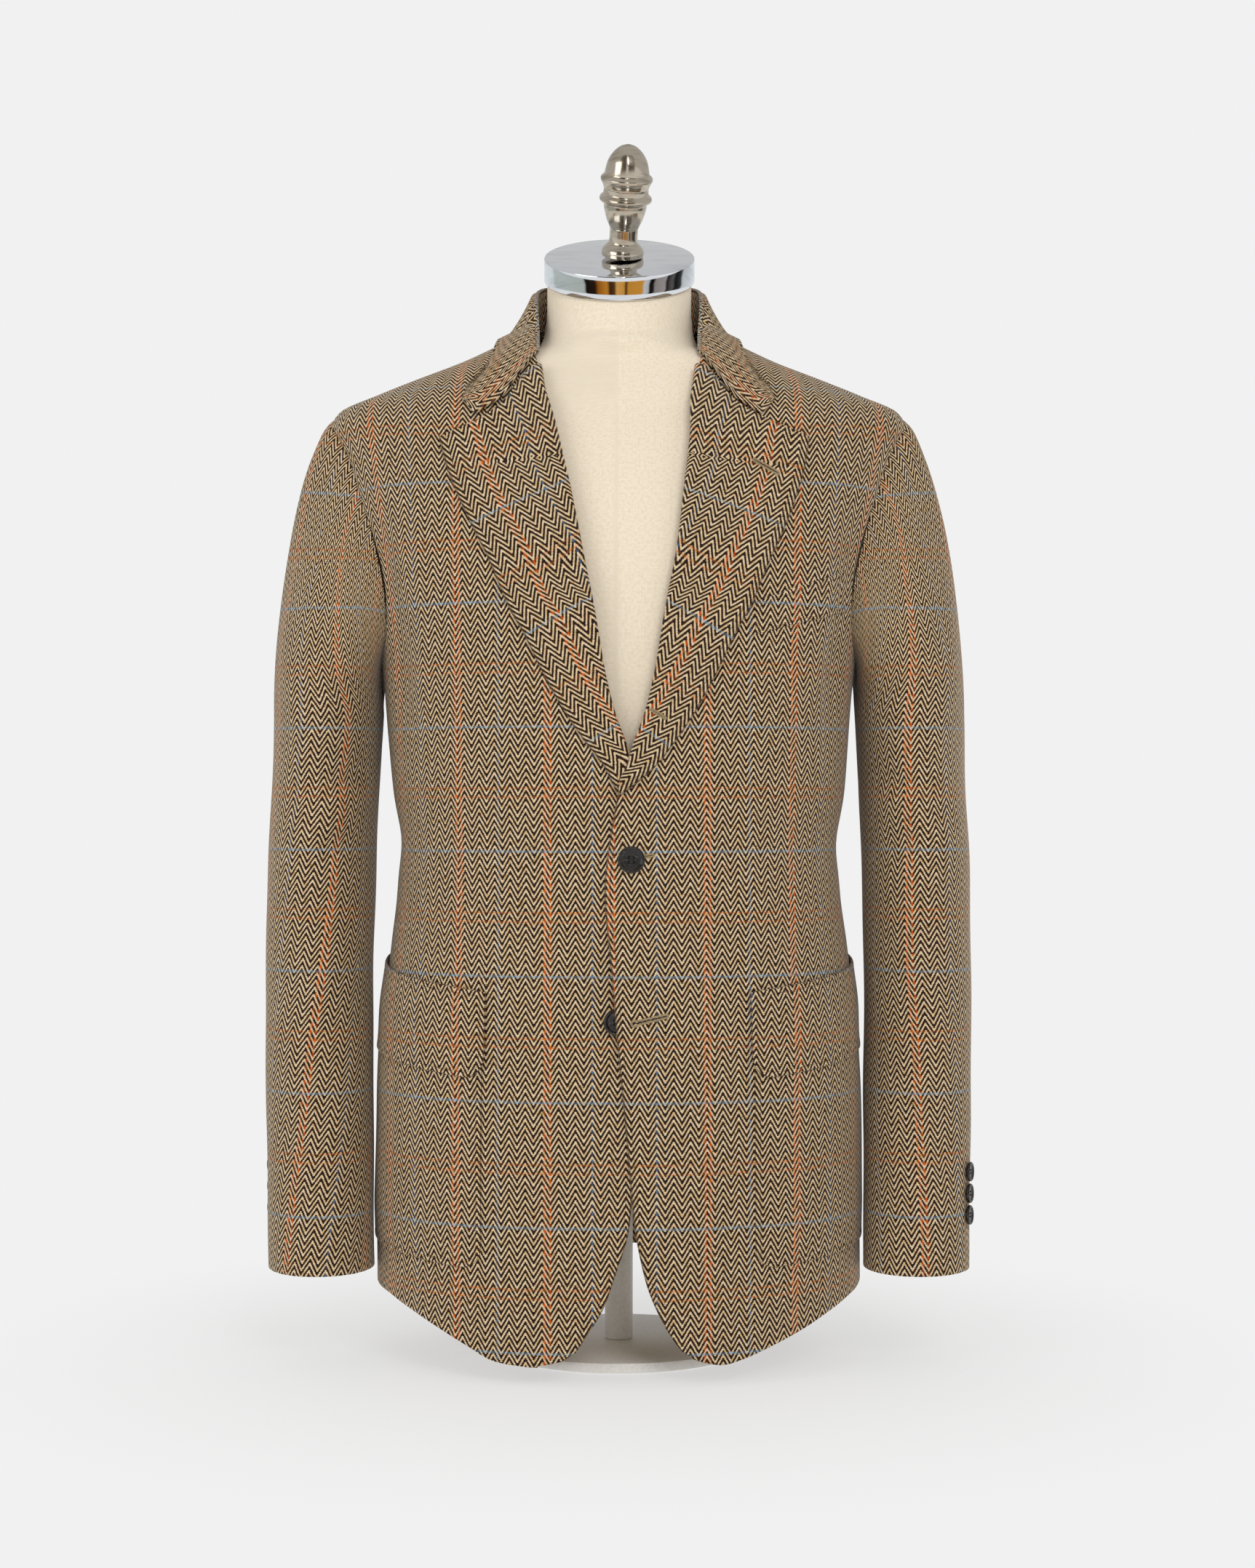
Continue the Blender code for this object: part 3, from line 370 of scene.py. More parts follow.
def plain_around(angle, height):
    """|sin a / width|^p + |cos a / depth|^p, to the power -1/p, is the radius at angle a."""
    turn = np.radians(angle)
    across, along = np.sin(turn), np.cos(turn)
    depth = np.where(along >= 0, front_depth(height), back_depth(height))
    shape = np.abs(across / half_width(height)) ** SECTION_POWER
    radius = (shape + np.abs(along / depth) ** SECTION_POWER) ** (-1 / SECTION_POWER)
    return np.stack([radius * across, -radius * along, height + 0 * radius], axis=-1)


def around(angle, height, out=0.0):
    """The surface at an angle and a height, moved out along its normal."""
    angle, height = np.broadcast_arrays(np.asarray(angle, float), np.asarray(height, float))
    turn, rise = 0.5, 0.004
    sideways = plain_around(angle + turn, height) - plain_around(angle - turn, height)
    upwards = plain_around(angle, height + rise) - plain_around(angle, height - rise)
    return plain_around(angle, height) + unit(np.cross(sideways, upwards)) * np.asarray(out)[..., None]


def front_angle(x, height):
    """The angle of the point of the front that lies x from the middle."""
    share = np.clip(np.abs(x) / half_width(height), 0, 1)
    depth = front_depth(height) * (1 - share**SECTION_POWER) ** (1 / SECTION_POWER)
    return np.degrees(np.arctan2(x, np.maximum(depth, 1e-6)))


def overlap(x, height):
    """How far the left front stands out over the right one, and over its low button."""
    over = (CLOTH + LAY) * (1 - soft_step(x, *OVERLAP_X)) * (1 - soft_step(height, *OVERLAP_Z))
    across, up = x - LOW_BUTTON_X, height - LOW_BUTTON_Z
    return over + SWELL * np.exp(-((across / SWELL_WIDE) ** 2) - (up / SWELL_HIGH) ** 2)


print("chest half width", float(half_width(0.6)), "m")

# %% [markdown]
# ## The grain
#
# On real cloth the check and the herringbone follow the threads. Distance across is measured round
# the body from the centre front or the centre back, and distance up is measured along the surface,
# so the pattern is not stretched where the chest or the shoulder slopes. Both are written to the
# piece's UV map in metres, and the weave reads them.

# %% Lengths along the cloth
GRID_ANGLES = np.arange(-45.0, 181.0, 1.0)
GRID_HEIGHTS = np.linspace(0.0, 0.815, 164)
LEVEL_LINE = 0.30  # at this height distance up the cloth equals height
_points = plain_around(GRID_ANGLES[None, :], GRID_HEIGHTS[:, None])
_across = np.linalg.norm(np.diff(_points, axis=1), axis=-1)
ARC = np.concatenate([np.zeros((len(GRID_HEIGHTS), 1)), np.cumsum(_across, axis=1)], axis=1)
ARC -= ARC[:, [int(np.argmin(np.abs(GRID_ANGLES)))]]
_up = np.linalg.norm(np.diff(_points, axis=0), axis=-1)
RISE = np.concatenate([np.zeros((1, len(GRID_ANGLES))), np.cumsum(_up, axis=0)], axis=0)
_level = int(np.argmin(np.abs(GRID_HEIGHTS - LEVEL_LINE)))
RISE += GRID_HEIGHTS[_level] - RISE[[_level]]


def read_grid(grid, angle, height):
    """Bilinear reading of a grid of lengths."""
    a = np.clip((angle - GRID_ANGLES[0]) / (GRID_ANGLES[1] - GRID_ANGLES[0]), 0, len(GRID_ANGLES) - 1.001)
    h = np.clip(height / (GRID_HEIGHTS[1] - GRID_HEIGHTS[0]), 0, len(GRID_HEIGHTS) - 1.001)
    i, j = h.astype(int), a.astype(int)
    s, t = h - i, a - j
    low = grid[i, j] * (1 - t) + grid[i, j + 1] * t
    high = grid[i + 1, j] * (1 - t) + grid[i + 1, j + 1] * t
    return low * (1 - s) + high * s


ORANGE_LEFT, ORANGE_RIGHT = -0.0135, 0.0608  # distance of an orange stripe from the centre front
SIDE_NAMES = (("left", 1), ("right", -1))


def front_grain(angle, height, side):
    """Across from the first orange stripe, and up."""
    stripe = ORANGE_LEFT if side > 0 else ORANGE_RIGHT
    across = read_grid(ARC, angle, height) - side * FRONT_CENTRE - stripe
    return np.stack([across * side, read_grid(RISE, angle, height)], axis=-1)


def back_grain(angle, height, side):
    """Across from the centre back, and up."""
    across = read_grid(ARC, 180.0 + 0 * angle, height) - read_grid(ARC, angle, height)
    return np.stack([across * side, read_grid(RISE, angle, height)], axis=-1)


print("half chest round:", round(float(ARC[int(0.55 / 0.005), -1]), 3), "m")

# %% [markdown]
# ## Creases
#
# Pressed tweed is firm and lies smooth. What moves it is how it hangs: the drape in front of the armhole,
# the pull at the waist button, the hollow at the waist, and the breaks of the sleeve. Each is one
# row of a table: a soft line between two points, its width and its depth, uneven along its length.

# %% Creases of the body
# Side, angle and height of its start, angle and height of its end, width, depth.
BODY_CREASES = (
    (1, 66.0, 0.500, 68.0, 0.640, 0.016, -0.0030),
    (1, 57.0, 0.520, 60.0, 0.620, 0.018, 0.0018),
    (-1, 66.0, 0.500, 68.0, 0.640, 0.016, -0.0030),
    (-1, 58.0, 0.510, 61.0, 0.630, 0.018, 0.0018),
    (1, 8.0, 0.398, 44.0, 0.425, 0.013, 0.0012),
    (1, 8.0, 0.380, 48.0, 0.352, 0.015, 0.0012),
    (-1, 4.0, 0.402, 40.0, 0.432, 0.013, 0.0013),
    (-1, 4.0, 0.374, 46.0, 0.345, 0.015, 0.0011),
    (1, 84.0, 0.398, 116.0, 0.404, 0.016, -0.0022),
    (-1, 84.0, 0.402, 114.0, 0.394, 0.017, -0.0022),
    (1, 100.0, 0.440, 140.0, 0.425, 0.018, 0.0016),
    (-1, 102.0, 0.430, 142.0, 0.438, 0.018, 0.0016),
    (1, 116.0, 0.520, 120.0, 0.640, 0.018, -0.0026),
    (-1, 116.0, 0.530, 121.0, 0.630, 0.018, -0.0026),
    (1, 150.0, 0.080, 146.0, 0.300, 0.030, 0.0022),
    (-1, 152.0, 0.060, 147.0, 0.280, 0.030, 0.0022),
    (1, 172.0, 0.060, 170.0, 0.260, 0.022, -0.0016),
    (-1, 170.0, 0.080, 172.0, 0.240, 0.022, -0.0016),
    (1, 28.0, 0.040, 25.0, 0.200, 0.026, 0.0012),
    (-1, 30.0, 0.050, 24.0, 0.210, 0.026, 0.0012),
    (1, 160.0, 0.790, 130.0, 0.760, 0.012, -0.0012),
    (-1, 160.0, 0.790, 130.0, 0.760, 0.012, -0.0012),
)
REACH = 0.175  # mean radius, which turns degrees of angle into metres of cloth


def soft_lines(rows, side, across, up):
    """Sum of bells about each line; depth fades at its ends and wavers by a sine along it."""
    total = np.zeros(np.shape(across))
    for which, a, h, to_a, to_h, width, depth in rows:
        if which != side:
            continue
        start = np.array([math.radians(a) * REACH, h])
        way = np.array([math.radians(to_a) * REACH, to_h]) - start
        length = float(np.hypot(*way))
        way = way / length
        x, y = across - start[0], up - start[1]
        along = x * way[0] + y * way[1]
        aside = y * way[0] - x * way[1] + 0.25 * width * np.sin(along / length * 5.0 + a)
        ends = soft_step(along, -0.35 * length, 0.25 * length)
        ends = ends * (1 - soft_step(along, 0.75 * length, 1.35 * length))
        waver = 1 + 0.25 * np.sin(along / length * 7.0 + h * 40)
        total += depth * bell(aside, width) * ends * waver
    return total


def body_creases(angle, height, side):
    """The table's lines, and half a millimetre of slow waves: a product of two sines."""
    hand = 0.0005 * np.sin(angle * 0.11 + height * 31 + side) * np.sin(height * 19 - angle * 0.05)
    return soft_lines(BODY_CREASES, side, np.radians(angle) * REACH, height) + hand


print(len(BODY_CREASES), "creases on the body")

# %% [markdown]
# ## Edges
#
# A tailored edge is two layers turned and pressed, so it is round, and a row of stitching 5.5 mm in
# makes a fine furrow with a swelled edge outside it. A seam is a small valley. The rows of a grid
# are crowded near the border, at fixed distances, so that both have enough points to show.

# %% Edge profiles
TURNED = (0.0, 0.0003, 0.0008, 0.0015, 0.0026, 0.0042, 0.0049, 0.0055, 0.0061, 0.0070)
SEAMED = (0.0, 0.0006, 0.0014, 0.0026, 0.0044)
STITCH_IN = 0.0055


def edge_drop(distance):
    """A quarter round of 1.3 mm, and the stitched furrow."""
    radius = 0.0013
    near = np.clip(radius - distance, 0, radius)
    round_off = radius - np.sqrt(np.maximum(radius**2 - near**2, 0))
    return round_off + 0.00045 * bell(distance - STITCH_IN, 0.0007)


def seam_drop(distance):
    """A valley 1.1 mm deep that dies out 4 mm from the seam."""
    return 0.0011 * np.exp(-distance / 0.0013)


def spread(start, end, middle, width):
    """Shares of a width: fixed distances at both ends and even steps between."""
    start, end = np.asarray(start), np.asarray(end)
    width = np.asarray(width, float)[..., None]
    first, last = start / width, 1 - end[::-1] / width
    step = np.linspace(0, 1, middle + 2)[1:-1]
    between = first[..., -1:] + (last[..., :1] - first[..., -1:]) * step
    return np.concatenate([first, between, last], axis=-1)


print("turned edge rows:", len(TURNED), "seam rows:", len(SEAMED))

# %% Meshes from grids
def closed_shell(name, outer, inner, grain, finish, edge=None):
    """Two grids of points, the same size, joined round their rim into one closed wall."""
    rows, columns = outer.shape[:2]
    count = rows * columns
    index = np.arange(count).reshape(rows, columns)
    low, high = index[:-1, :-1].ravel(), index[1:, 1:].ravel()
    quads = np.stack([low, index[:-1, 1:].ravel(), high, index[1:, :-1].ravel()], axis=1)
    rim = np.concatenate([index[0, :-1], index[:-1, -1], index[-1, :0:-1], index[:0:-1, 0]])
    after = np.roll(rim, -1)
    walls = np.stack([rim, rim + count, after + count, after], axis=1)
    faces = np.concatenate([quads, quads[:, ::-1] + count, walls])
    points = np.concatenate([outer.reshape(-1, 3), inner.reshape(-1, 3)])
    mesh = bpy.data.meshes.new(name)
    mesh.from_pydata(points.tolist(), [], faces.tolist())
    corners = np.empty(len(mesh.loops), np.int32)
    mesh.loops.foreach_get("vertex_index", corners)
    for layer, values in (("cloth", grain), ("edge", edge)):
        if values is None:
            values = np.zeros((rows, columns, 2)) + [0.0, 1.0]
        turned_under = (0.0, -CLOTH) if layer == "cloth" else (0.0, 0.0)
        flat = np.concatenate([values.reshape(-1, 2), values.reshape(-1, 2) + turned_under])
        mesh.uv_layers.new(name=layer).data.foreach_set("uv", flat[corners].ravel().astype(np.float32))
    return finished(name, mesh, finish)


def finished(name, mesh, finish, angle=42):
    """Turns the faces outwards, shades them smooth and puts the object in the scene."""
    work = bmesh.new()
    work.from_mesh(mesh)
    bmesh.ops.recalc_face_normals(work, faces=work.faces)
    work.to_mesh(mesh)
    work.free()
    mesh.materials.append(finish)
    mesh.shade_smooth()
    mesh.set_sharp_from_angle(angle=math.radians(angle))
    made = bpy.data.objects.new(name, mesh)
    bpy.context.scene.collection.objects.link(made)
    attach(made, "root")
    return made


def placed(points, side=1):
    """Mirrors a piece to its side and moves it with the draft."""
    return points * [side, 1, 1] + [0, SHIFT_Y, 0]


def sewn(name, node, outer, inner, grain, edge=None):
    """One piece of tweed in place of its plain solid, which it hides."""
    made = closed_shell(name, outer, inner, grain, TWEED, edge)
    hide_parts(node)
    return made


def body_piece(name, node, angle, height, out, drop, side, grain, edge=None):
    """A panel that is a stretch of the body, with its creases; drop lowers its outside at edges."""
    out = out + body_creases(angle, height, side)
    outer = placed(around(angle, height, out - drop), side)
    inner = placed(around(angle, height, out - CLOTH), side)
    return sewn(name, node, outer, inner, grain, edge)


# %% [markdown]
# ## Materials
#
# Each material is a small tree of nodes on a Principled shader. Colours are written as sRGB hex
# values and turned to linear light by one function. One helper adds a node with its settings and
# links. Patterns on cloth read the UV maps in metres; the others read Object coordinates.

# %% Node helpers
def linear(code):
    """An sRGB hex colour as linear RGBA: ((c + 0.055) / 1.055) ** 2.4 above the toe."""
    values = [int(code[i : i + 2], 16) / 255 for i in (1, 3, 5)]
    return tuple(v / 12.92 if v <= 0.04045 else ((v + 0.055) / 1.055) ** 2.4 for v in values) + (1.0,)


def new_material(name, **sockets):
    """A material with its Principled shader; a socket's spaces are written as underscores."""
    made = bpy.data.materials.new(name)
    made.use_nodes = True
    shader = made.node_tree.nodes["Principled BSDF"]
    for socket, value in sockets.items():
        shader.inputs[socket.replace("_", " ")].default_value = value
    return made, made.node_tree, shader


def add(tree, kind, settings=None, **inputs):
    """Adds a node; an input is a value, or a socket to link from."""
    node = tree.nodes.new("ShaderNode" + kind)
    for key, value in (settings or {}).items():
        setattr(node, key, value)
    for key, value in inputs.items():
        socket = node.inputs[int(key[1:]) if key[1:].isdigit() else key.replace("_", " ")]
        if isinstance(value, bpy.types.NodeSocket):
            tree.links.new(value, socket)
        else:
            socket.default_value = value
    return node


def maths(tree, operation, a, b=0.0, c=0.0):
    """A Math node's result."""
    return add(tree, "Math", {"operation": operation}, _0=a, _1=b, _2=c).outputs[0]


def blended(tree, factor, a, b):
    """Colour a where the factor is 0, colour b where it is 1."""
    node = add(tree, "Mix", {"data_type": "RGBA"}, _0=factor, _6=a, _7=b)
    return node.outputs[2]


def ramp(tree, value, low, high):
    """0 below low, 1 above high."""
    node = add(tree, "MapRange", {"interpolation_type": "SMOOTHSTEP"}, Value=value)
    node.inputs["From Min"].default_value = low
    node.inputs["From Max"].default_value = high
    return node.outputs[0]


print("cream yarn in linear light:", [round(v, 3) for v in linear("#e6d6b4")[:3]])

# %% [markdown]
# ## Tweed
#
# The cloth is a woollen herringbone: a 2/2 twill whose diagonal turns back every 6.2 mm, in cream
# weft on dark brown warp, so the eye reads zigzag lines 5.4 mm apart. Each line climbs in steps of
# one thread, which leaves its edges jagged. A windowpane lies over it: twin orange threads and a
# single blue one, warp and weft, repeating every 71 by 93 mm. On warp stripes the colour shows only
# where the warp floats, so they look like rows of dashes. The yarns are a blend, so both tones
# drift, with flecks of olive, gold and grey blue. Wool has no gloss: it is rough with a little sheen.

# %% The herringbone and its check
HALF_COLUMN = 0.0062
LINE_PITCH = 0.00545
LINE_SLOPE = 1.7
THREAD = 0.000775  # one thread of warp, an eighth of the half column
PANE_ACROSS, PANE_UP = 0.0712, 0.0927
BLUE_ACROSS = 0.0333
EDGE_DARK = 0.0009  # a dark line painted along turned edges, in place of the fine shadow beside them
ORANGE_UP, BLUE_UP = 0.2534, 0.2096  # heights of one line of each colour
TWIN = 0.0033  # half the distance between twin orange threads


def stripe_mask(tree, value, period, at, half_width, twin=0.0):
    """1 on lines that repeat: the distance to the nearest line, by folding the value."""
    shifted = maths(tree, "SUBTRACT", value, at - period / 2)
    folded = maths(tree, "ABSOLUTE", maths(tree, "SUBTRACT", maths(tree, "MODULO", maths(
        tree, "ADD", shifted, period * 40), period), period / 2))
    if twin:
        folded = maths(tree, "ABSOLUTE", maths(tree, "SUBTRACT", folded, twin))
    return maths(tree, "SUBTRACT", 1.0, ramp(tree, folded, half_width * 0.5, half_width * 1.5))


def speckle(tree, where, scale, low, high, seed):
    """Spots of a blend: smooth noise cut between two levels."""
    noise = add(tree, "TexNoise", {"noise_dimensions": "4D"}, Vector=where, W=seed, Scale=scale, Detail=2.0)
    return ramp(tree, noise.outputs["Fac"], low, high)


def make_tweed():
    """Diagonal = up + slope * (across folded every half column); a line is a wave of the diagonal."""
    made, tree, shader = new_material("woollen_herringbone_tweed", Roughness=0.93)
    shader.inputs["Sheen Weight"].default_value = 0.16
    shader.inputs["Sheen Roughness"].default_value = 0.45
    shader.inputs["Specular IOR Level"].default_value = 0.18
    where = add(tree, "UVMap", {"uv_map": "cloth"}).outputs[0]
    wobble = add(tree, "TexNoise", Vector=where, Scale=700.0, Detail=3.0).outputs["Color"]
    offset = add(tree, "VectorMath", {"operation": "MULTIPLY_ADD"}, _0=wobble, _1=(0.0008, 0.0012, 0),
                 _2=where).outputs[0]
    split = add(tree, "SeparateXYZ", Vector=offset)
    across, up = split.outputs[0], split.outputs[1]
    folded = maths(tree, "PINGPONG", maths(tree, "ADD", across, 2.0), HALF_COLUMN)
    stair = maths(tree, "MULTIPLY", maths(tree, "SUBTRACT", maths(tree, "SNAP", folded, THREAD), folded), 0.6)
    stepped = maths(tree, "ADD", folded, stair)
    diagonal = maths(tree, "MULTIPLY_ADD", stepped, LINE_SLOPE, up)
    turns = maths(tree, "MULTIPLY", diagonal, 2 * math.pi / LINE_PITCH)
    wave = maths(tree, "SINE", turns)
    steps = add(tree, "TexWave", {"bands_direction": "Y"}, Vector=where, Scale=420.0, Distortion=0.6)
    steps.inputs["Detail Scale"].default_value = 2.0
    broken = maths(tree, "MULTIPLY_ADD", steps.outputs["Fac"], 0.30, wave)
    light = ramp(tree, broken, 0.14, 0.58)
    cream = blended(tree, speckle(tree, where, 260.0, 0.42, 0.66, 1.0), linear(CREAM), linear(CREAM_WARM))
    cream = blended(tree, speckle(tree, where, 330.0, 0.60, 0.70, 2.0), cream, linear(OLIVE))
    cream = blended(tree, speckle(tree, where, 420.0, 0.50, 0.80, 3.0), cream, linear(CREAM_DULL))
    dark = blended(tree, speckle(tree, where, 240.0, 0.45, 0.68, 4.0), linear(BROWN), linear(BROWN_RED))
    dark = blended(tree, speckle(tree, where, 300.0, 0.60, 0.72, 5.0), dark, linear(BROWN_OLIVE))
    cloth = blended(tree, light, dark, cream)
    plain = add(tree, "SeparateXYZ", Vector=where)
    warp, weft = plain.outputs[0], plain.outputs[1]
    floats = maths(tree, "MULTIPLY_ADD", light, -0.80, 0.90)
    fade = maths(tree, "MULTIPLY_ADD", speckle(tree, where, 260.0, 0.40, 0.62, 6.0), 0.85, 0.15)
    warp_orange = stripe_mask(tree, warp, PANE_ACROSS, 0.0, 0.0008, TWIN * 0.62)
    cloth = blended(tree, maths(tree, "MULTIPLY", maths(tree, "MULTIPLY", warp_orange, floats), fade),
                    cloth, linear(ORANGE))
    warp_blue = stripe_mask(tree, warp, PANE_ACROSS, BLUE_ACROSS, 0.0007)
    cloth = blended(tree, maths(tree, "MULTIPLY", maths(tree, "MULTIPLY", warp_blue, floats), fade),
                    cloth, linear(BLUE_DEEP))
    weft_fade = maths(tree, "MULTIPLY", maths(tree, "MULTIPLY_ADD", light, 0.66, 0.20),
                      maths(tree, "MULTIPLY_ADD", speckle(tree, where, 230.0, 0.42, 0.62, 7.0), 0.7, 0.3))
    weft_orange = stripe_mask(tree, weft, PANE_UP, ORANGE_UP, 0.00075, TWIN)
    cloth = blended(tree, maths(tree, "MULTIPLY", weft_orange, weft_fade), cloth, linear(ORANGE_PALE))
    weft_blue = stripe_mask(tree, weft, PANE_UP, BLUE_UP, 0.00085)
    cloth = blended(tree, maths(tree, "MULTIPLY", weft_blue, maths(tree, "ADD", weft_fade, 0.1)),
                    cloth, linear(BLUE))
    edge = add(tree, "SeparateXYZ", Vector=add(tree, "UVMap", {"uv_map": "edge"}).outputs[0])
    beside = maths(tree, "ABSOLUTE", maths(tree, "SUBTRACT", edge.outputs[1], STITCH_IN))
    dash = maths(tree, "FRACT", maths(tree, "MULTIPLY", edge.outputs[0], 1 / 0.0028))
    sewn_in = maths(tree, "MULTIPLY", maths(tree, "LESS_THAN", dash, 0.72),
                    maths(tree, "SUBTRACT", 1.0, ramp(tree, beside, 0.00025, 0.0006)))
    cloth = blended(tree, maths(tree, "MULTIPLY", sewn_in, 0.55), cloth, linear(STITCH_AND_EDGE_SHADOW_DARK))
    # painted shadow: the cloth is darkened within EDGE_DARK of a turned edge and fades back to its own colour
    # by three times that
    shaded = maths(tree, "SUBTRACT", 1.0, ramp(tree, edge.outputs[1], EDGE_DARK, 3 * EDGE_DARK))
    cloth = blended(tree, maths(tree, "MULTIPLY", shaded, 0.62), cloth, linear(STITCH_AND_EDGE_SHADOW_DARK))
    tree.links.new(cloth, shader.inputs["Base Color"])
    fuzz = add(tree, "TexNoise", Vector=where, Scale=1500.0, Detail=3.0).outputs["Fac"]
    height = maths(tree, "MULTIPLY_ADD", fuzz, 0.6, light)
    bump = add(tree, "Bump", Strength=0.45, Distance=0.0004, Height=height)
    tree.links.new(bump.outputs[0], shader.inputs["Normal"])
    return made


CREAM, CREAM_WARM, CREAM_DULL = "#d5bf9d", "#c5a574", "#a08865"
OLIVE, BROWN, BROWN_RED, BROWN_OLIVE = "#9a8142", "#22140b", "#38190c", "#382813"
ORANGE, ORANGE_PALE, BLUE, BLUE_DEEP = "#c9520f", "#d07c3a", "#8fa6b4", "#4a6684"
# the dark of the stitching thread, also the colour of the painted shadow along turned edges
STITCH_AND_EDGE_SHADOW_DARK = "#3a2c1c"
TWEED = make_tweed()
print("tweed:", len(TWEED.node_tree.nodes), "nodes")

# %% [markdown]
# ## Horn, linen, chrome, nickel, paint and thread
#
# Horn is polished and dark, with brown streaks that run through it. The form's cover is plain
# linen, two threads to the millimetre in life and drawn coarser, with thick places in the yarn.
# Chrome mirrors all round it and shows faint wiping marks. The nickel is warmer and older. The
# stand is sprayed with a satin paint.

# %% Small materials
def make_horn():
    """Brown streaks where stretched noise passes a level."""
    made, tree, shader = new_material("polished_horn", Roughness=0.20, IOR=1.55)
    where = add(tree, "TexCoord").outputs["Object"]
    streaks = add(tree, "TexNoise", Vector=where, Scale=160.0, Detail=4.0, Distortion=1.6).outputs["Fac"]
    colour = blended(tree, ramp(tree, streaks, 0.52, 0.78), linear("#0e0a08"), linear("#54483e"))
    tree.links.new(colour, shader.inputs["Base Color"])
    marks = add(tree, "TexNoise", Vector=where, Scale=900.0).outputs["Fac"]
    tree.links.new(add(tree, "Bump", Strength=0.08, Distance=0.0002, Height=marks).outputs[0],
                   shader.inputs["Normal"])
    return made


def make_linen():
    """Two crossed waves of threads, 1.1 mm apart, each thickened here and there by noise."""
    made, tree, shader = new_material("plain_linen_cover", Roughness=0.9)
    shader.inputs["Sheen Weight"].default_value = 0.1
    shader.inputs["Specular IOR Level"].default_value = 0.2
    where = add(tree, "UVMap", {"uv_map": "cloth"}).outputs[0]
    slub = add(tree, "TexNoise", Vector=where, Scale=420.0, Detail=3.0).outputs["Fac"]
    threads = []
    for direction in ("X", "Y"):
        wave = add(tree, "TexWave", {"bands_direction": direction}, Vector=where, Scale=285.0, Distortion=0.8)
        threads.append(wave.outputs["Fac"])
    weave = maths(tree, "MULTIPLY", threads[0], threads[1])
    colour = blended(tree, ramp(tree, slub, 0.35, 0.7), linear("#ebdfcb"), linear("#e2d4bc"))
    colour = blended(tree, maths(tree, "MULTIPLY", weave, 0.35), colour, linear("#c6b090"))
    tree.links.new(colour, shader.inputs["Base Color"])
    height = maths(tree, "ADD", weave, maths(tree, "MULTIPLY", slub, 0.5))
    tree.links.new(add(tree, "Bump", Strength=0.35, Distance=0.0003, Height=height).outputs[0],
                   shader.inputs["Normal"])
    return made


def make_metal(name, colour, worn, roughness):
    """Metal with wiping marks: long noise sets the roughness between two values."""
    made, tree, shader = new_material(name, Metallic=1.0)
    where = add(tree, "TexCoord").outputs["Object"]
    long = add(tree, "Mapping", Vector=where, Scale=(30.0, 30.0, 220.0)).outputs[0]
    marks = add(tree, "TexNoise", Vector=long, Scale=1.0, Detail=4.0).outputs["Fac"]
    span = add(tree, "MapRange", Value=marks)
    span.inputs["To Min"].default_value, span.inputs["To Max"].default_value = roughness
    tree.links.new(span.outputs[0], shader.inputs["Roughness"])
    tint = blended(tree, ramp(tree, marks, 0.45, 0.75), linear(colour), linear(worn))
    tree.links.new(tint, shader.inputs["Base Color"])
    return made


def make_paint():
    """Two near whites and a low bump from fine noise."""
    made, tree, shader = new_material("satin_sprayed_paint", Roughness=0.38)
    where = add(tree, "TexCoord").outputs["Object"]
    peel = add(tree, "TexNoise", Vector=where, Scale=420.0, Detail=2.0).outputs["Fac"]
    colour = blended(tree, ramp(tree, peel, 0.3, 0.8), linear("#e6e3dd"), linear("#dcd8d0"))
    tree.links.new(colour, shader.inputs["Base Color"])
    tree.links.new(add(tree, "Bump", Strength=0.12, Distance=0.0003, Height=peel).outputs[0],
                   shader.inputs["Normal"])
    return made


def make_thread(name, colour, other):
    """Twisted silk: a fine wave along the stitch, between two tones."""
    made, tree, shader = new_material(name, Roughness=0.6)
    where = add(tree, "TexCoord").outputs["Object"]
    twist = add(tree, "TexWave", {"bands_direction": "DIAGONAL"}, Vector=where, Scale=500.0, Distortion=1.0)
    tone = blended(tree, twist.outputs["Fac"], linear(colour), linear(other))
    tree.links.new(tone, shader.inputs["Base Color"])
    tree.links.new(add(tree, "Bump", Strength=0.3, Distance=0.0002, Height=twist.outputs["Fac"]).outputs[0],
                   shader.inputs["Normal"])
    return made


HORN = make_horn()
LINEN = make_linen()
CHROME = make_metal("polished_chrome", "#e3e6ea", "#d3d6da", (0.02, 0.07))
NICKEL = make_metal("worn_nickel", "#c2b8a8", "#8f8573", (0.10, 0.22))
PAINT = make_paint()
TWIST = make_thread("buttonhole_twist", "#7d6a4a", "#a08c66")
BLACK_THREAD = make_thread("dark_button_thread", "#15100d", "#33261d")
print("small materials:", ", ".join(m.name for m in (HORN, LINEN, CHROME, NICKEL, PAINT, TWIST)))

# %% [markdown]
# ## Fronts and backs
#
# Each front starts at its closing edge, whose shape is a table by height: a rounded corner at the
# hem, a straight edge, then the roll line. It runs round the side to a seam behind the arm. Rows end
# at the side seam, then up the armhole, then along the shoulder. The left front lies over the right.

# %% Rows of a panel
ROLL_START, EDGE_END = 0.457, 0.460  # where the closing edge gives way to the roll line
BEYOND_STITCH = 0.0065  # past the furrow, for a hem that has none


def hem_height(angle, side):
    """Height of the hem at an angle; the left front hangs on its own curve."""
    return table(HEM_COLUMNS, HEM, "left" if side > 0 else "right")(angle)


def closing_edge(height, side):
    """Distance of a front's inner edge from the middle, on the front's own side."""
    edge = table(EDGE_COLUMNS, FRONT_EDGE, "left" if side > 0 else "right")(height) * side
    rolled = table(OPENING_COLUMNS, OPENING, "half")(height) + side * FRONT_CENTRE * centre_shift(height)
    closed = edge * (height < EDGE_END)
    return np.where(height < ROLL_START, edge, np.maximum(rolled, closed))


def low_levels(count=74):
    """Heights of the rows from the hem to the armpit, crowded at the turned hem."""
    near_hem = np.array([0.0, 0.0003, 0.0008, 0.0016, 0.003])
    return np.concatenate([near_hem, np.linspace(0.006, ARMPIT, count)])


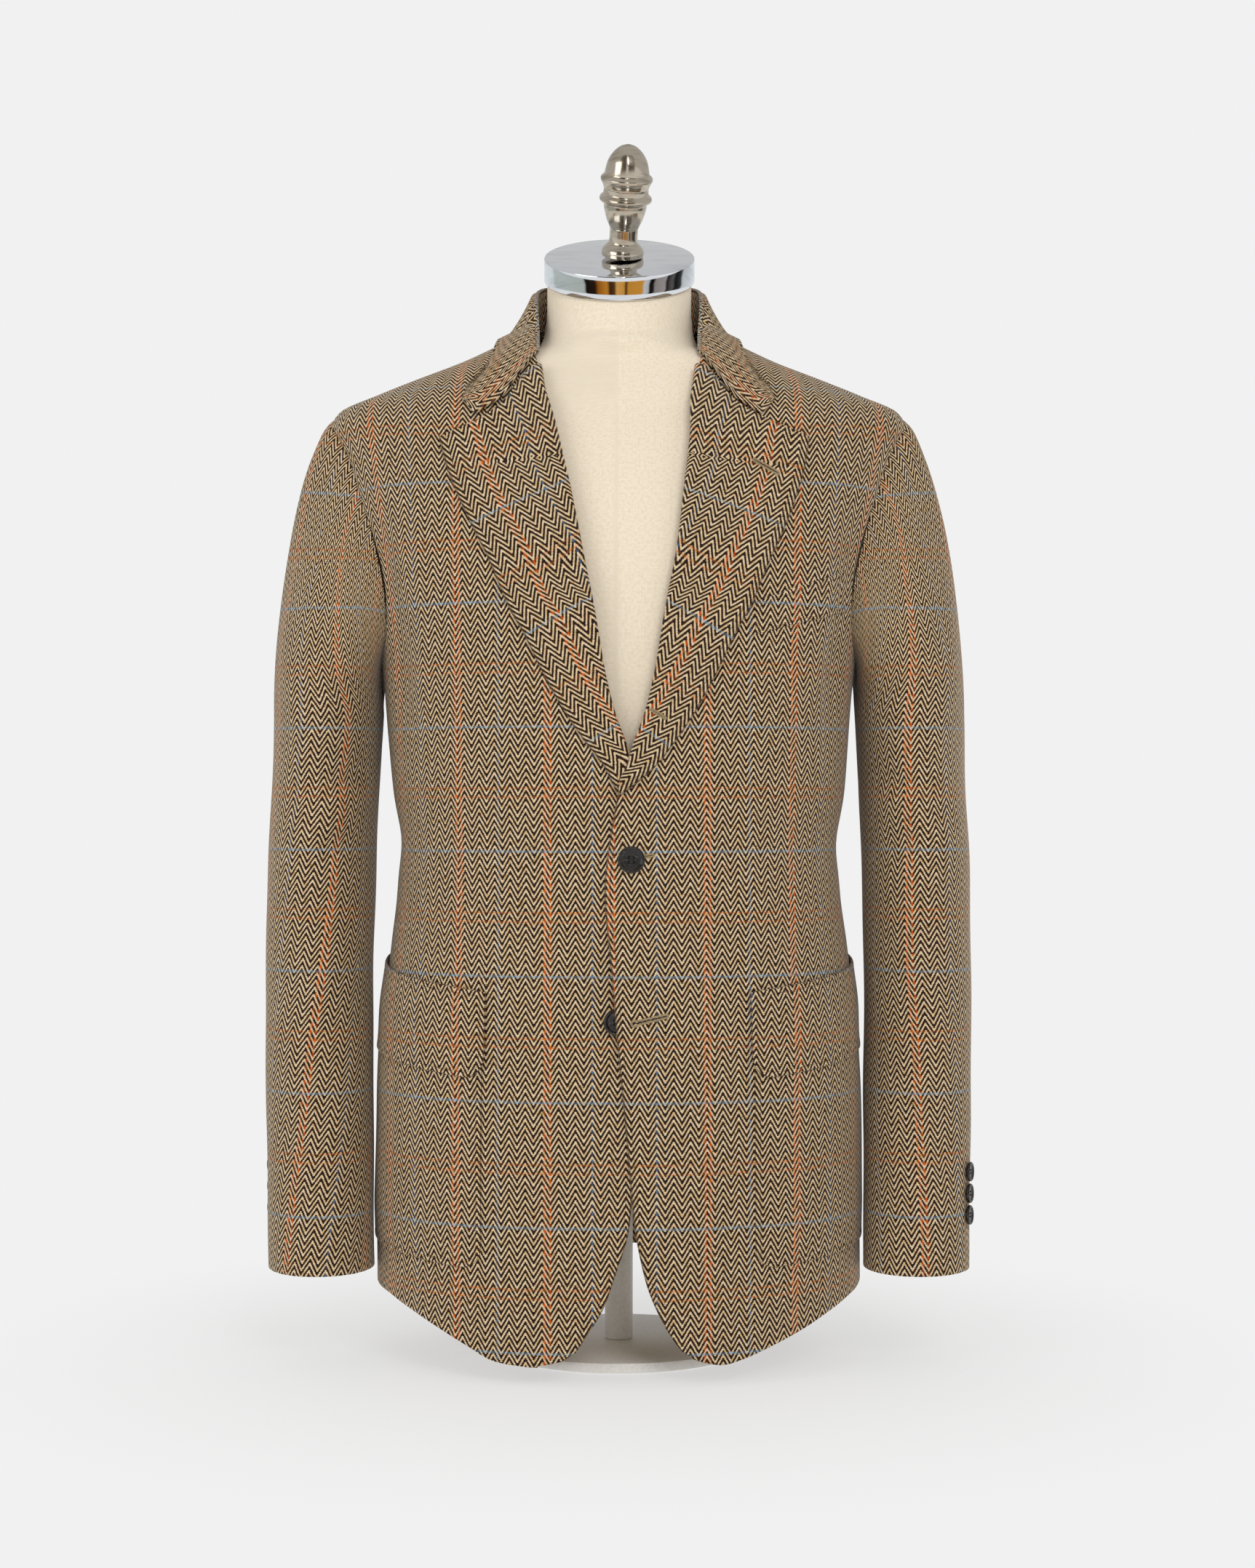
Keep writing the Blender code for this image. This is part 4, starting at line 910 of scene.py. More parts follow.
def upper_rows(facing, shoulder_z, neck_z, armhole=40, shoulder=24):
    """Middle height, end angle and end height of the rows above the armpit."""
    at = np.concatenate([np.linspace(0, 1, armhole + 1)[1:], 1 + np.linspace(0, 1, shoulder + 1)[1:]])
    inner = eased((0, 1, 2), (ARMPIT, shoulder_z, neck_z))(at)
    low = np.minimum(at, 1)
    angle = np.where(at <= 1, table(ARMHOLE_COLUMNS, ARMHOLE, facing)(low), 90.0)
    level = table(ARMHOLE_COLUMNS, ARMHOLE, "height")(low)
    return inner, angle, np.where(at <= 1, level, mix(SHOULDER_POINT, NECK_POINT, at - 1))


def front_rows(side):
    """Angle and height of both ends of each row; below, every point follows the hem's curve."""
    corner_x = FRONT_EDGE[0][1 if side > 0 else 2] * side
    corner = float(front_angle(corner_x, FRONT_EDGE[0][0]))
    level = low_levels()
    fade = np.maximum(0, 1 - level / HEM_REACH) ** 2
    start = level + float(hem_height(corner, side)) * fade
    seam = table(SIDE_SEAM_COLUMNS, SIDE_SEAM, "turn")(level)
    inner, end_angle, end_height = upper_rows("front", FRONT_AT_SHOULDER, OPENING[-1][0])
    start = np.concatenate([start, inner])
    first = front_angle(closing_edge(start, side), start)
    last = np.concatenate([seam, end_angle])
    return first, last, start, np.concatenate([level, end_height]), np.concatenate([fade, 0 * inner])


def front_panel(side, middle=66):
    """Angle and height between the ends of each row, and the distance from each end."""
    first, last, start, end, fade = front_rows(side)
    width = np.radians(np.abs(last - first)) * REACH
    share = spread(TURNED, SEAMED, middle, np.maximum(width, 0.03))
    angle = mix(first[:, None], last[:, None], share)
    low = end[:, None] + hem_height(angle, side) * fade[:, None]
    height = np.where((np.arange(len(start)) < len(low_levels()))[:, None], low,
                      mix(start[:, None], end[:, None], share))
    return angle, height, share * width[:, None], (1 - share) * width[:, None]


print("rows of a front:", len(front_rows(1)[0]))

# %% Cut the fronts and backs
def make_fronts():
    """Both fronts; their turned edge ends where the roll of the lapel starts."""
    for name, side in SIDE_NAMES:
        angle, height, from_edge, from_seam = front_panel(side)
        over = overlap(plain_around(angle, height)[..., 0], height) if side > 0 else 0 * angle
        level = np.concatenate([low_levels(), np.full(len(angle) - len(low_levels()), 1.0)])[:, None]
        below_roll = soft_step(0.470 - height, 0.0, 0.02)
        from_hem = level + BEYOND_STITCH * (level > 0.0016)
        drop = edge_drop(np.minimum(from_edge + 0.02 * (1 - below_roll), from_hem))
        drop = np.maximum(drop, seam_drop(from_seam))
        grain = front_grain(angle, height, side)
        along = np.broadcast_to(height, angle.shape)
        edge = np.stack([along, from_edge + 1.0 * (height > 0.47)], axis=-1)
        body_piece(f"cloth_front_{name}", f"front_{name}", angle, height, over, drop, side, grain,
                   edge=edge)


def back_panel(middle=54):
    """Rows from the side seam to the centre back; the upper ones close up towards the neck by a sine."""
    level = low_levels()
    fade = np.maximum(0, 1 - level / HEM_REACH) ** 2
    inner, end_angle, end_height = upper_rows("back", BACK_AT_SHOULDER, BACK_NECK)
    first = np.concatenate([table(SIDE_SEAM_COLUMNS, SIDE_SEAM, "turn")(level), end_angle])
    width = np.radians(180.0 - first) * REACH
    share = spread(SEAMED, SEAMED, middle, width)
    angle = mix(first[:, None], 180.0, share)
    low = level[:, None] + table(HEM_COLUMNS, HEM, "left")(angle[: len(level)]) * fade[:, None]
    high = mix(end_height[:, None], inner[:, None], np.sin(share[len(level):] * np.pi / 2))
    return angle, np.concatenate([low, high]), share * width[:, None], (1 - share) * width[:, None]


def make_backs():
    """Both backs, with valleys at the seams and a turned hem."""
    for name, side in SIDE_NAMES:
        angle, height, from_side, from_middle = back_panel()
        level = np.concatenate([low_levels(), np.full(len(angle) - len(low_levels()), 1.0)])[:, None]
        drop = seam_drop(np.minimum(from_side, from_middle))
        drop = np.maximum(drop, edge_drop(level + BEYOND_STITCH * (level > 0.0016)))
        grain = back_grain(angle, height, side)
        body_piece(f"cloth_back_{name}", f"back_{name}", angle, height, 0 * angle, drop, side, grain)


# %% [markdown]
# ## Pockets and welt
#
# What lies on a panel is made from the panel's own points moved out, creases and all, so it can't
# cut into it. A patch pocket with rounded corners is edge-stitched; its flap lies over it; the
# breast welt is a strip set on the slant. All three carry the panel's own grain, so the check
# runs on unbroken, as a careful cutter would have it.

# %% Pockets
HIP_REACH = 0.172  # radius at the pockets, which turns angles into metres


def pocket_area(angles, top, bottom, corner, middle=40):
    """Angle and height of a pocket; its lower corners are quarter circles."""
    width = math.radians(angles[1] - angles[0]) * HIP_REACH
    share = spread(TURNED, TURNED, middle, width)
    from_side = np.minimum(share, 1 - share) * width
    near = np.clip(corner - from_side, 0, corner)
    raised = corner - np.sqrt(np.maximum(corner**2 - near**2, 0))
    high, low = mix(top[0], top[1], share), mix(bottom[0], bottom[1], share) + raised
    tall = float(np.mean(high - low))
    down = spread(TURNED, TURNED, middle, tall)[:, None]
    height = mix(low, high, down)
    angle = mix(angles[0], angles[1], share) + 0 * down
    to_bottom, to_top = height - low, high - height
    return angle, height, np.minimum(np.minimum(from_side + 0 * down, to_bottom), to_top)


def lying_on(angle, height, side):
    """How far the panel under a piece already stands out."""
    return overlap(plain_around(angle, height)[..., 0], height) if side > 0 else 0 * angle


PRESSED = 0.0017  # how far a pressed layer stands out over the one below
FAINT_EDGE = 0.0016  # keeps the painted edge shadow faint on the pockets


def make_pockets():
    """A patch and its flap on each side, fuller in the middle by a soft step."""
    flap_bottom = (FLAP_TOP[0] - FLAP_DEPTH, FLAP_TOP[1] - FLAP_DEPTH)
    patch = pocket_area(PATCH_ANGLES, PATCH_TOP, PATCH_BOTTOM, POCKET_CORNER)
    flap = pocket_area(FLAP_ANGLES, FLAP_TOP, flap_bottom, POCKET_CORNER)
    for name, side in SIDE_NAMES:
        for kind, (angle, height, inside), layers, under in (
            ("patch", patch, 1, f"cloth_front_{name}"),
            ("flap", flap, 2, f"cloth_patch_{name}"),
        ):
            full = 0.0007 * soft_step(inside, 0.006, 0.03)
            if kind == "flap":
                full = full + 0.0012 * (1 - soft_step(height, flap_bottom[0], flap_bottom[0] + 0.03))
            out = layers * PRESSED + full
            edge = np.stack([angle * 0.003 + height, inside + FAINT_EDGE], axis=-1)
            body_piece(f"cloth_{kind}_{name}", f"pocket_{kind}_{name}", angle, height, out,
                       edge_drop(inside), side, front_grain(angle, height, side), edge=edge)


def make_welt(middle=30):
    """A strip between two slanting lines, its corners mixed from the table of its ends."""
    width = WELT_TOP_X[1] - WELT_TOP_X[0]
    share = spread(TURNED, TURNED, middle, width)
    down = spread(TURNED, TURNED, 6, WELT_TOP[0] - WELT_BOTTOM[0])[:, None]
    height = mix(mix(*WELT_BOTTOM, share), mix(*WELT_TOP, share), down)
    x = mix(mix(*WELT_BOTTOM_X, share), mix(*WELT_TOP_X, share), down)
    angle = front_angle(x, height)
    inside = np.minimum(np.minimum(share, 1 - share) * width, np.minimum(down, 1 - down) * 0.027)
    edge = np.stack([x, inside + 0.0028], axis=-1)
    body_piece("cloth_welt", "breast_welt", angle, height, PRESSED + 0 * angle, edge_drop(inside), 1,
               front_grain(angle, height, 1), edge=edge)


# %% [markdown]
# ## Lapels
#
# A lapel is the front's facing turned outwards over a roll line. Pressed tweed doesn't fold flat
# there: it turns over in a soft roll, highest just outside the line, and comes down to lie on the
# chest. The section of the roll is a half circle that goes on as a falling curve. Its grain runs
# along its outer edge, so the stripes lean with it.

# %% Lapels
NOTCH = 11  # the row of the lapel's table at its point
LAPEL_ROWS = 130  # rows below the notch
ROLL_RADIUS = 0.0030
NOSE_POINTS = 9


def lapel_ends(side, above=40):
    """The roll line and the outer edge by row, eased through the table, with a corner at the notch."""
    tip = LAPEL_TIP_LEFT if side > 0 else LAPEL_TIP_RIGHT
    path = np.array((tip,) + LAPEL)
    at = np.concatenate([np.linspace(0, NOTCH, LAPEL_ROWS), np.linspace(NOTCH, len(path) - 1, above)[1:]])
    ends = curve_through(path, at, corners=(NOTCH,))
    for line in range(0, 4, 2):
        ends[:, line] += side * FRONT_CENTRE * centre_shift(ends[:, line + 1])
    return ends


def lapel_grain(points, edge, along, side, settle=12):
    """Across is the distance from the outer edge and up the distance along it.

    Above the notch, both are measured from the edge's line carried straight on.
    """
    at_notch = LAPEL_ROWS - 1
    way = np.gradient(edge, axis=0)
    straight = edge[at_notch] - edge[at_notch - 50]
    below = (np.arange(len(edge)) < at_notch - settle)[:, None]
    way = unit(np.where(below, way, straight))
    start, rise = edge.copy(), along.copy()
    start[at_notch:], rise[at_notch:] = edge[at_notch], along[at_notch]
    off = points - start[:, None, :]
    up = off[..., 0] * way[:, None, 0] + off[..., 1] * way[:, None, 1]
    aside = off[..., 0] * way[:, None, 1] - off[..., 1] * way[:, None, 0]
    return np.stack([(LAPEL_STRIPE + aside) * side, rise + up + LAPEL_RISE[side]], axis=-1)


LAPEL_STRIPE = 0.028  # from the outer edge to the orange stripe
LAPEL_RISE = {1: 0.4365, -1: 0.4453}


def make_lapels(middle=34):
    """Each lapel lies flat at LAY + CLOTH, rises to its roll by e^-x and ends in a half-circle nose."""
    for name, side in SIDE_NAMES:
        ends = lapel_ends(side)
        roll, edge = ends[:, :2], ends[:, 2:]
        width = np.maximum(np.linalg.norm(edge - roll, axis=1), 0.004)
        radius = np.minimum(ROLL_RADIUS, width * 0.25)
        share = spread([0.0], TURNED, middle, np.maximum(width, 0.011))
        place = mix(roll[:, None, :], edge[:, None, :], share[..., None])
        from_roll, from_edge = share * width[:, None], (1 - share) * width[:, None]
        flat = LAY + CLOTH
        peak = np.maximum(2 * radius + 0.0012 - flat, 0)[:, None]
        fall = np.exp(-from_roll / 0.020) * (1 - soft_step(from_roll / width[:, None], 0.55, 0.95))
        out = flat + peak * fall
        turn = np.radians(np.linspace(25, 165, NOSE_POINTS))
        way = (edge - roll) / width[:, None]
        ahead = radius[:, None] * np.sin(turn)
        nose = roll[:, None, :] - way[:, None, :] * ahead[..., None]
        nose_out = out[:, :1] * (1 - np.cos(turn)) / 2
        inside = roll[:, None, :] - way[:, None, :] * (ahead * 0.4)[..., None]
        inside_out = out[:, :1] / 2 - (out[:, :1] / 2 - CLOTH) * np.cos(turn)
        keep = np.zeros((1, NOSE_POINTS))
        from_edge = np.concatenate([from_edge[:, :1] + keep, from_edge[:, 1:]], axis=1)
        along = np.concatenate([[0], np.cumsum(np.linalg.norm(np.diff(edge, axis=0), axis=1))])[:, None]
        drop = edge_drop(np.minimum(from_edge, along[-1] - along + 0.0026))
        lean = 0.0010 * np.sin(roll[:, 1:] * 26 + side) * soft_step(from_edge, 0.004, 0.03)

        def wall(first, rest, out_first, out_rest, under):
            """The nose and the flat part in one grid, set out from the front below them."""
            points = np.concatenate([first, rest], axis=1)
            x, height = points[..., 0], points[..., 1]
            angle = front_angle(x, height)
            lift = np.concatenate([out_first, out_rest], axis=1) + lying_on(angle, height, side)
            lift = lift + lean + body_creases(angle, height, side) - under
            return placed(around(angle, height, lift), side)

        outer = wall(nose, place[:, 1:], nose_out, out[:, 1:], drop)
        inner = wall(inside, place[:, 1:], inside_out, out[:, 1:] - CLOTH, 0.0)
        grain = lapel_grain(np.concatenate([nose, place[:, 1:]], axis=1), edge, along, side)
        grain[:, :NOSE_POINTS, 0] += (radius[:, None] * (np.pi / 2 - turn).clip(0) * side)
        stitched = np.stack([along + 0 * from_edge, from_edge], axis=-1)
        sewn(f"cloth_lapel_{name}", f"lapel_{name}", outer, inner, grain, stitched)


# %% [markdown]
# ## Collar
#
# The collar is a leaf that turns over a fold round the neck, on a stand that rises inside it. Each
# station of its table gives the fold and the outer edge; lines between them sag a little, and where
# they would enter the shoulder they are raised on to it. Its cloth is cut with the grain square to
# the neck, so in front the zigzags lie on their side.

# %% Collar
def rest_on_body(points, lift):
    """Raises points that are closer to the body than this; radius by height is read at 91 angles."""
    levels = np.linspace(0.815, 0.700, 60)
    turns = np.linspace(0, 180, 91)
    seats = around(turns[:, None], levels[None, :], lift)
    radii = np.linalg.norm(seats[..., :2], axis=-1)
    turn = np.degrees(np.arctan2(np.abs(points[..., 0]), -points[..., 1])).ravel()
    reach = np.hypot(points[..., 0], points[..., 1]).ravel()
    at = turn / 2.0
    low = np.clip(at.astype(int), 0, 89)
    steps = np.linspace(0.02, 0.26, 200)
    heights = np.array([np.interp(steps, r, s) for r, s in zip(radii, seats[..., 2])])
    col = np.clip((reach - steps[0]) / (steps[1] - steps[0]), 0, 198.999)
    c = col.astype(int)
    f, g = at - low, col - c
    seat = ((heights[low, c] * (1 - g) + heights[low, c + 1] * g) * (1 - f)
            + (heights[low + 1, c] * (1 - g) + heights[low + 1, c + 1] * g) * f)
    out = points.copy()
    out[..., 2] = np.maximum(points[..., 2], seat.reshape(points.shape[:-1]))
    return out


COLLAR_SAG = 0.0030
COLLAR_ROUND = 0.0035  # the leaf's fullness just outside the fold
LEAF_WIDTH = 0.062
LEAF_NOSE = 8  # points round the fold
NECK_AXIS_Y = 0.012
LEAF_ROWS = 9  # stations of the half collar, gorge included


def collar_half(share, at):
    """Points of the leaf: at runs from the gorge (0) to the centre back (8), share from the fold out."""
    steps = np.linspace(0, 1, len(GORGE))
    half = np.interp(share, steps, column(GORGE_COLUMNS, GORGE, "half"))
    height = np.interp(share, steps, column(GORGE_COLUMNS, GORGE, "height")) + 2 * SEAM
    gorge = around(front_angle(half, height), height, COLLAR_LIFT)
    ends = [(gorge[0], gorge[-1])]
    for fold_x, fold_y, fold_z, edge_x, edge_y, edge_z in COLLAR:
        edge = np.array([edge_x, edge_y or 0.0, edge_z])
        if edge_y is None:
            edge = around(front_angle(edge_x, edge_z), edge_z, COLLAR_LIFT)
        ends.append((np.array([fold_x, fold_y, fold_z]), edge))
    ends = np.array(ends)
    fold, edge = curve_through(ends[:, 0], at), curve_through(ends[:, 1], at)
    out = unit((edge - fold) * [1, 1, 0])
    line = mix(fold[:, None], edge[:, None], share[None, :, None])
    line = line - out[:, None] * (COLLAR_SAG * np.sin(share * np.pi))[None, :, None]
    bulge = COLLAR_ROUND * (np.exp(-share / 0.16) - np.exp(-share / 0.03))
    line = line + out[:, None] * bulge[None, :, None]
    line = np.concatenate([line[:, :1], rest_on_body(line[:, 1:], COLLAR_LIFT)], axis=1)
    lead = (1 - soft_step(at, 0.0, 1.0))[:, None, None]
    return mix(line, np.broadcast_to(gorge, line.shape), lead * soft_step(1 - at, 0.0, 1.0)[:, None, None])



def make_collar():
    """The whole leaf from one half and its mirror image, with a round nose at the fold."""
    share = spread([0.0], TURNED, 26, LEAF_WIDTH)
    at = np.linspace(0, LEAF_ROWS - 1, 110)
    half = collar_half(share, at)
    grid = np.concatenate([half, (half * [-1, 1, 1])[-2::-1]])
    rows = len(grid)
    along = np.cumsum(np.concatenate([[0], np.linalg.norm(np.diff(grid[:, 12], axis=0), axis=1)]))
    inward = unit(grid[:, 0] * [-1, -1, 0] + [0, NECK_AXIS_Y, 0])
    turn = np.radians(np.linspace(35, 165, LEAF_NOSE))
    radius = 0.0022
    nose = (grid[:, :1] + inward[:, None] * radius * (1 + np.cos(turn))[None, :, None]
            + np.array([0, 0, 1]) * radius * (np.sin(turn) - 1)[None, :, None])
    full = np.concatenate([nose, grid[:, 2:]], axis=1)
    from_edge = np.concatenate([np.full(LEAF_NOSE, 0.05), (1 - share[2:]) * LEAF_WIDTH])[None, :]
    across = np.gradient(full, axis=1)
    up = np.gradient(full, axis=0)
    normal = unit(np.cross(up, across))
    centre = np.array([0, 0.01, 0.76])
    normal *= np.sign(np.sum(normal * (full - centre), axis=-1, keepdims=True).sum())
    ends = np.minimum(along, along[-1] - along)[:, None]
    drop = edge_drop(np.minimum(from_edge + 0 * ends, ends + 0.0005))
    outer = full - normal * drop[..., None]
    inner = full - normal * CLOTH
    over_fold = np.linspace(-0.007, 0.0, LEAF_NOSE + 1)[:-1]
    down = np.concatenate([over_fold, share[2:] * LEAF_WIDTH])[None, :]
    grain = np.stack([along[:, None] - along[rows // 2] + 0 * down, 0.4 + down + 0 * along[:, None]], axis=-1)
    edge = np.stack([along[:, None] + 0 * from_edge, from_edge + 0 * along[:, None]], axis=-1)
    sewn("cloth_collar", "collar_leaf", placed(outer), placed(inner), grain, edge)
    make_collar_stand(at[at >= 1.0])


def make_collar_stand(at):
    """A band from the neck seam to just under the fold."""
    fold = curve_through(np.array([row[:3] for row in COLLAR]), at - 1.0)
    turn = np.degrees(np.arctan2(fold[:, 0], -fold[:, 1]))
    rise = np.sin(np.radians(np.clip(turn - 90, -12, 90)))
    base = plain_around(turn, mix(NECK_POINT, BACK_NECK, rise)) + [0, 0, 0.0022]
    inward = unit(fold * [1, 1, 0] - [0, NECK_AXIS_Y, 0])
    top = fold - inward * (CLOTH + 2 * SEAM) - [0, 0, 0.0030]
    base = base - inward * 0.0016
    share = np.linspace(0, 1, 14)[None, :, None]
    half = mix(base[:, None], top[:, None], share)
    outer = np.concatenate([half, (half * [-1, 1, 1])[-2::-1]])
    inner = outer - unit(outer * [1, 1, 0] - [0, NECK_AXIS_Y, 0]) * CLOTH
    along = np.cumsum(np.concatenate([[0], np.linalg.norm(np.diff(outer[:, 6], axis=0), axis=1)]))
    grain = np.stack([along[:, None] + 0 * outer[..., 2], outer[..., 2]], axis=-1)
    sewn("cloth_collar_stand", "collar_stand", placed(outer), placed(inner), grain)

# %% [markdown]
# ## Sleeves
#
# A two-piece sleeve: a wide upper half and a narrow under half, joined by the forearm seam in front
# and the hindarm seam behind, which ends at the cuff buttons. It leaves the armhole, rolls over the
# sleeve head and hangs forward. Each row is a squared ellipse; the head's rows are cubics from the
# armhole to the first ellipse. It breaks softly at the elbow, where the forearm starts forward.

# %% Sleeve surface
HEAD_TOP, HEAD_LIFT = 0.700, -0.0013
HEAD_LEAVE = {"low_x": 0.010, "rise_x": 0.062, "y": -0.020, "low_z": -0.010, "rise_z": -0.030}
HEAD_ARRIVE = {"low_z": -0.035, "rise_z": -0.235}
CUFF_BUTTON_LEFT, CUFF_BUTTON_RIGHT = 64.0, 112.0
CUFF_BUTTONS = (0.1150, 0.1313, 0.1476)
HEAD_STEPS = np.concatenate([[0, 0.006, 0.014, 0.026, 0.044, 0.07], np.linspace(0.10, 1, 34)])
LOW_STEPS = np.concatenate([np.linspace(0.5, 0.081, 72)[1:], 0.073 + np.array(
    [0.0070, 0.0061, 0.0055, 0.0049, 0.0042, 0.0026, 0.0015, 0.0008, 0.0003, 0.0])])


def armhole_point(turn, out):
    """A point of the armhole: turn is -90 at the armpit and 90 at the shoulder point."""
    turn = (turn + 90) % 360 - 90
    front = turn <= 90
    share = np.where(front, (turn + 90) / 180, (270 - turn) / 180)
    fore = table(ARMHOLE_COLUMNS, ARMHOLE, "front")(share)
    aft = table(ARMHOLE_COLUMNS, ARMHOLE, "back")(share)
    return around(np.where(front, fore, aft), table(ARMHOLE_COLUMNS, ARMHOLE, "height")(share), out)


def sleeve_ring(turn, height):
    """(x + w sin t, y - d cos t) with the table's middle, half width and half depth."""
    x, y, width, depth = (table(SLEEVE_COLUMNS, SLEEVE, name)(height) for name in SLEEVE_COLUMNS[1:])
    turn = np.radians(turn)
    return np.stack([x + width * np.sin(turn), y - depth * np.cos(turn), height + 0 * turn], axis=-1)


def sleeve_points(turns):
    """A row of points for each step of the head, then for each height below it."""
    count = len(HEAD_STEPS)
    t, turn = HEAD_STEPS[:, None, None], turns[:count]
    top, facing = (1 + np.sin(np.radians(turn))) / 2, np.cos(np.radians(turn))
    start = armhole_point(turn, HEAD_LIFT)
    end = sleeve_ring(turn, SLEEVE[0][0] + 0 * turn)
    leave = np.stack([HEAD_LEAVE["low_x"] + HEAD_LEAVE["rise_x"] * top, HEAD_LEAVE["y"] * facing,
                      HEAD_LEAVE["low_z"] + HEAD_LEAVE["rise_z"] * top], axis=-1)
    arrive = np.stack([0 * top, 0 * top, HEAD_ARRIVE["low_z"] + HEAD_ARRIVE["rise_z"] * top], axis=-1)
    head = (start * (1 + 2 * t) * (1 - t) ** 2 + leave * t * (1 - t) ** 2
            + end * t * t * (3 - 2 * t) - arrive * t * t * (1 - t))
    return np.concatenate([head, sleeve_ring(turns[count:], LOW_STEPS[:, None] + 0 * turns[count:])])


ROW_HEIGHTS = np.concatenate([mix(HEAD_TOP, SLEEVE[0][0], HEAD_STEPS), LOW_STEPS])
SLEEVE_REACH = 0.056  # mean radius of a sleeve
# Side, turn and height of its start, turn and height of its end, width, depth.
SLEEVE_CREASES = (
    (1, -60.0, 0.452, 20.0, 0.432, 0.013, -0.0026),
    (1, -40.0, 0.425, 45.0, 0.398, 0.015, 0.0022),
    (1, -70.0, 0.392, 8.0, 0.405, 0.012, -0.0020),
    (1, 20.0, 0.620, -30.0, 0.540, 0.020, -0.0018),
    (1, 60.0, 0.560, 20.0, 0.480, 0.022, 0.0014),
    (1, -30.0, 0.330, 20.0, 0.250, 0.020, 0.0012),
    (1, 120.0, 0.430, 175.0, 0.452, 0.014, -0.0024),
    (1, 110.0, 0.395, 180.0, 0.400, 0.014, 0.0020),
    (1, 35.0, 0.160, -20.0, 0.185, 0.018, -0.0012),
    (-1, -62.0, 0.460, 15.0, 0.438, 0.013, -0.0026),
    (-1, -45.0, 0.428, 40.0, 0.404, 0.016, 0.0022),
    (-1, -72.0, 0.398, 5.0, 0.396, 0.012, -0.0021),
    (-1, 25.0, 0.610, -28.0, 0.530, 0.020, -0.0017),
    (-1, 55.0, 0.550, 15.0, 0.470, 0.022, 0.0014),
    (-1, -28.0, 0.320, 25.0, 0.235, 0.020, 0.0013),
    (-1, 122.0, 0.436, 178.0, 0.455, 0.014, -0.0024),
    (-1, 112.0, 0.402, 182.0, 0.398, 0.014, 0.0020),
    (-1, 40.0, 0.170, -15.0, 0.190, 0.018, -0.0012),
)


def sleeve_creases(turns, side):
    """The table's lines read by turn and height, and slow waves: a product of two sines."""
    heights = ROW_HEIGHTS[:, None] + 0 * turns
    across = np.radians(turns) * REACH
    lines = soft_lines(SLEEVE_CREASES, side, across, heights)
    return lines + 0.0005 * np.sin(turns * 0.05 + heights * 37 + side) * np.sin(heights * 23)


def sleeve_half(turns, side, line):
    """Outside, inside and grain of one half; line is the turn of its first orange stripe by row."""
    points = sleeve_points(turns)
    forwards = sleeve_points(turns + 1) - sleeve_points(turns - 1)
    normal = unit(np.cross(np.gradient(points, axis=0), forwards))
    steps = np.linalg.norm(np.diff(points, axis=1), axis=-1)
    arc = np.concatenate([np.zeros((len(points), 1)), np.cumsum(steps, axis=1)], axis=1)
    share = (line[:, None] - turns[:, :1]) / (turns[:, -1:] - turns[:, :1])
    across = arc - arc[:, -1:] * share
    down = np.linalg.norm(np.diff(points, axis=0), axis=-1)
    rise = np.concatenate([np.cumsum(down[::-1], axis=0)[::-1], np.zeros((1, points.shape[1]))])
    level = len(HEAD_STEPS) - 1
    up = np.where(np.arange(len(points))[:, None] < level, 0.5 + rise - rise[level], points[..., 2])
    to_seam = np.minimum(arc, arc[:, -1:] - arc)
    from_head = np.concatenate([np.zeros((1, points.shape[1])), np.cumsum(down, axis=0)])
    to_cuff = np.maximum(points[..., 2] - LOW_STEPS[-1], 0)
    drop = np.maximum(seam_drop(to_seam),
                      edge_drop(to_cuff + BEYOND_STITCH * (to_cuff > 0.0016)))
    swell = 0.0008 * bell(from_head - 0.012, 0.011) * np.clip(np.sin(np.radians(turns)), 0, 1)
    full = points + normal * (sleeve_creases(turns, side) * soft_step(from_head, 0, 0.05) + swell)[..., None]
    return full - normal * drop[..., None], full - normal * CLOTH, np.stack([across, up], axis=-1)


# height, then the turn about the sleeve of an orange stripe: wearer's right, wearer's left
STRIPE_TURNS = (
    (0.075, 32.0, 5.0),
    (0.128, 22.0, 1.5),
    (0.181, 11.0, -3.0),
    (0.234, 2.0, -6.5),
    (0.323, -12.5, -12.5),
    (0.420, -21.5, -11.5),
    (0.494, -24.5, -9.0),
    (0.560, -12.0, 0.5),
    (0.609, 1.5, 10.5),
    (0.647, 14.0, 21.5),
    (0.700, 26.0, 33.0),
)


def make_sleeves():
    """Upper and under half of each sleeve, cut at the forearm and hindarm seams."""
    gap = math.degrees(SEAM / 2 / SLEEVE[0][3])
    forearm = table(SEAM_COLUMNS, SLEEVE_SEAMS, "forearm")(ROW_HEIGHTS)
    levels, right, left = zip(*STRIPE_TURNS)
    stripes = {-1: eased(levels, right)(ROW_HEIGHTS), 1: eased(levels, left)(ROW_HEIGHTS)}
    for name, side in SIDE_NAMES:
        hindarm = table(SEAM_COLUMNS, SLEEVE_SEAMS, f"hindarm_{name}")(ROW_HEIGHTS)
        for piece, low, high, line, count in (
            ("upper", forearm + gap, hindarm - gap, stripes[side], 74),
            ("under", hindarm + gap, forearm + 360 - gap, (hindarm + forearm + 360) / 2, 44),
        ):
            width = np.radians(high - low) * SLEEVE_REACH
            share = spread(SEAMED, SEAMED, count, width)
            turns = mix(low[:, None], high[:, None], share)
            outer, inner, grain = sleeve_half(turns, side, line)
            sewn(f"cloth_sleeve_{piece}_{name}", f"sleeve_{piece}_{name}", placed(outer, side),
                 placed(inner, side), grain * [side, 1])


# %% Sew the jacket
make_fronts()
make_backs()
make_pockets()
make_welt()
make_lapels()
make_collar()
make_sleeves()

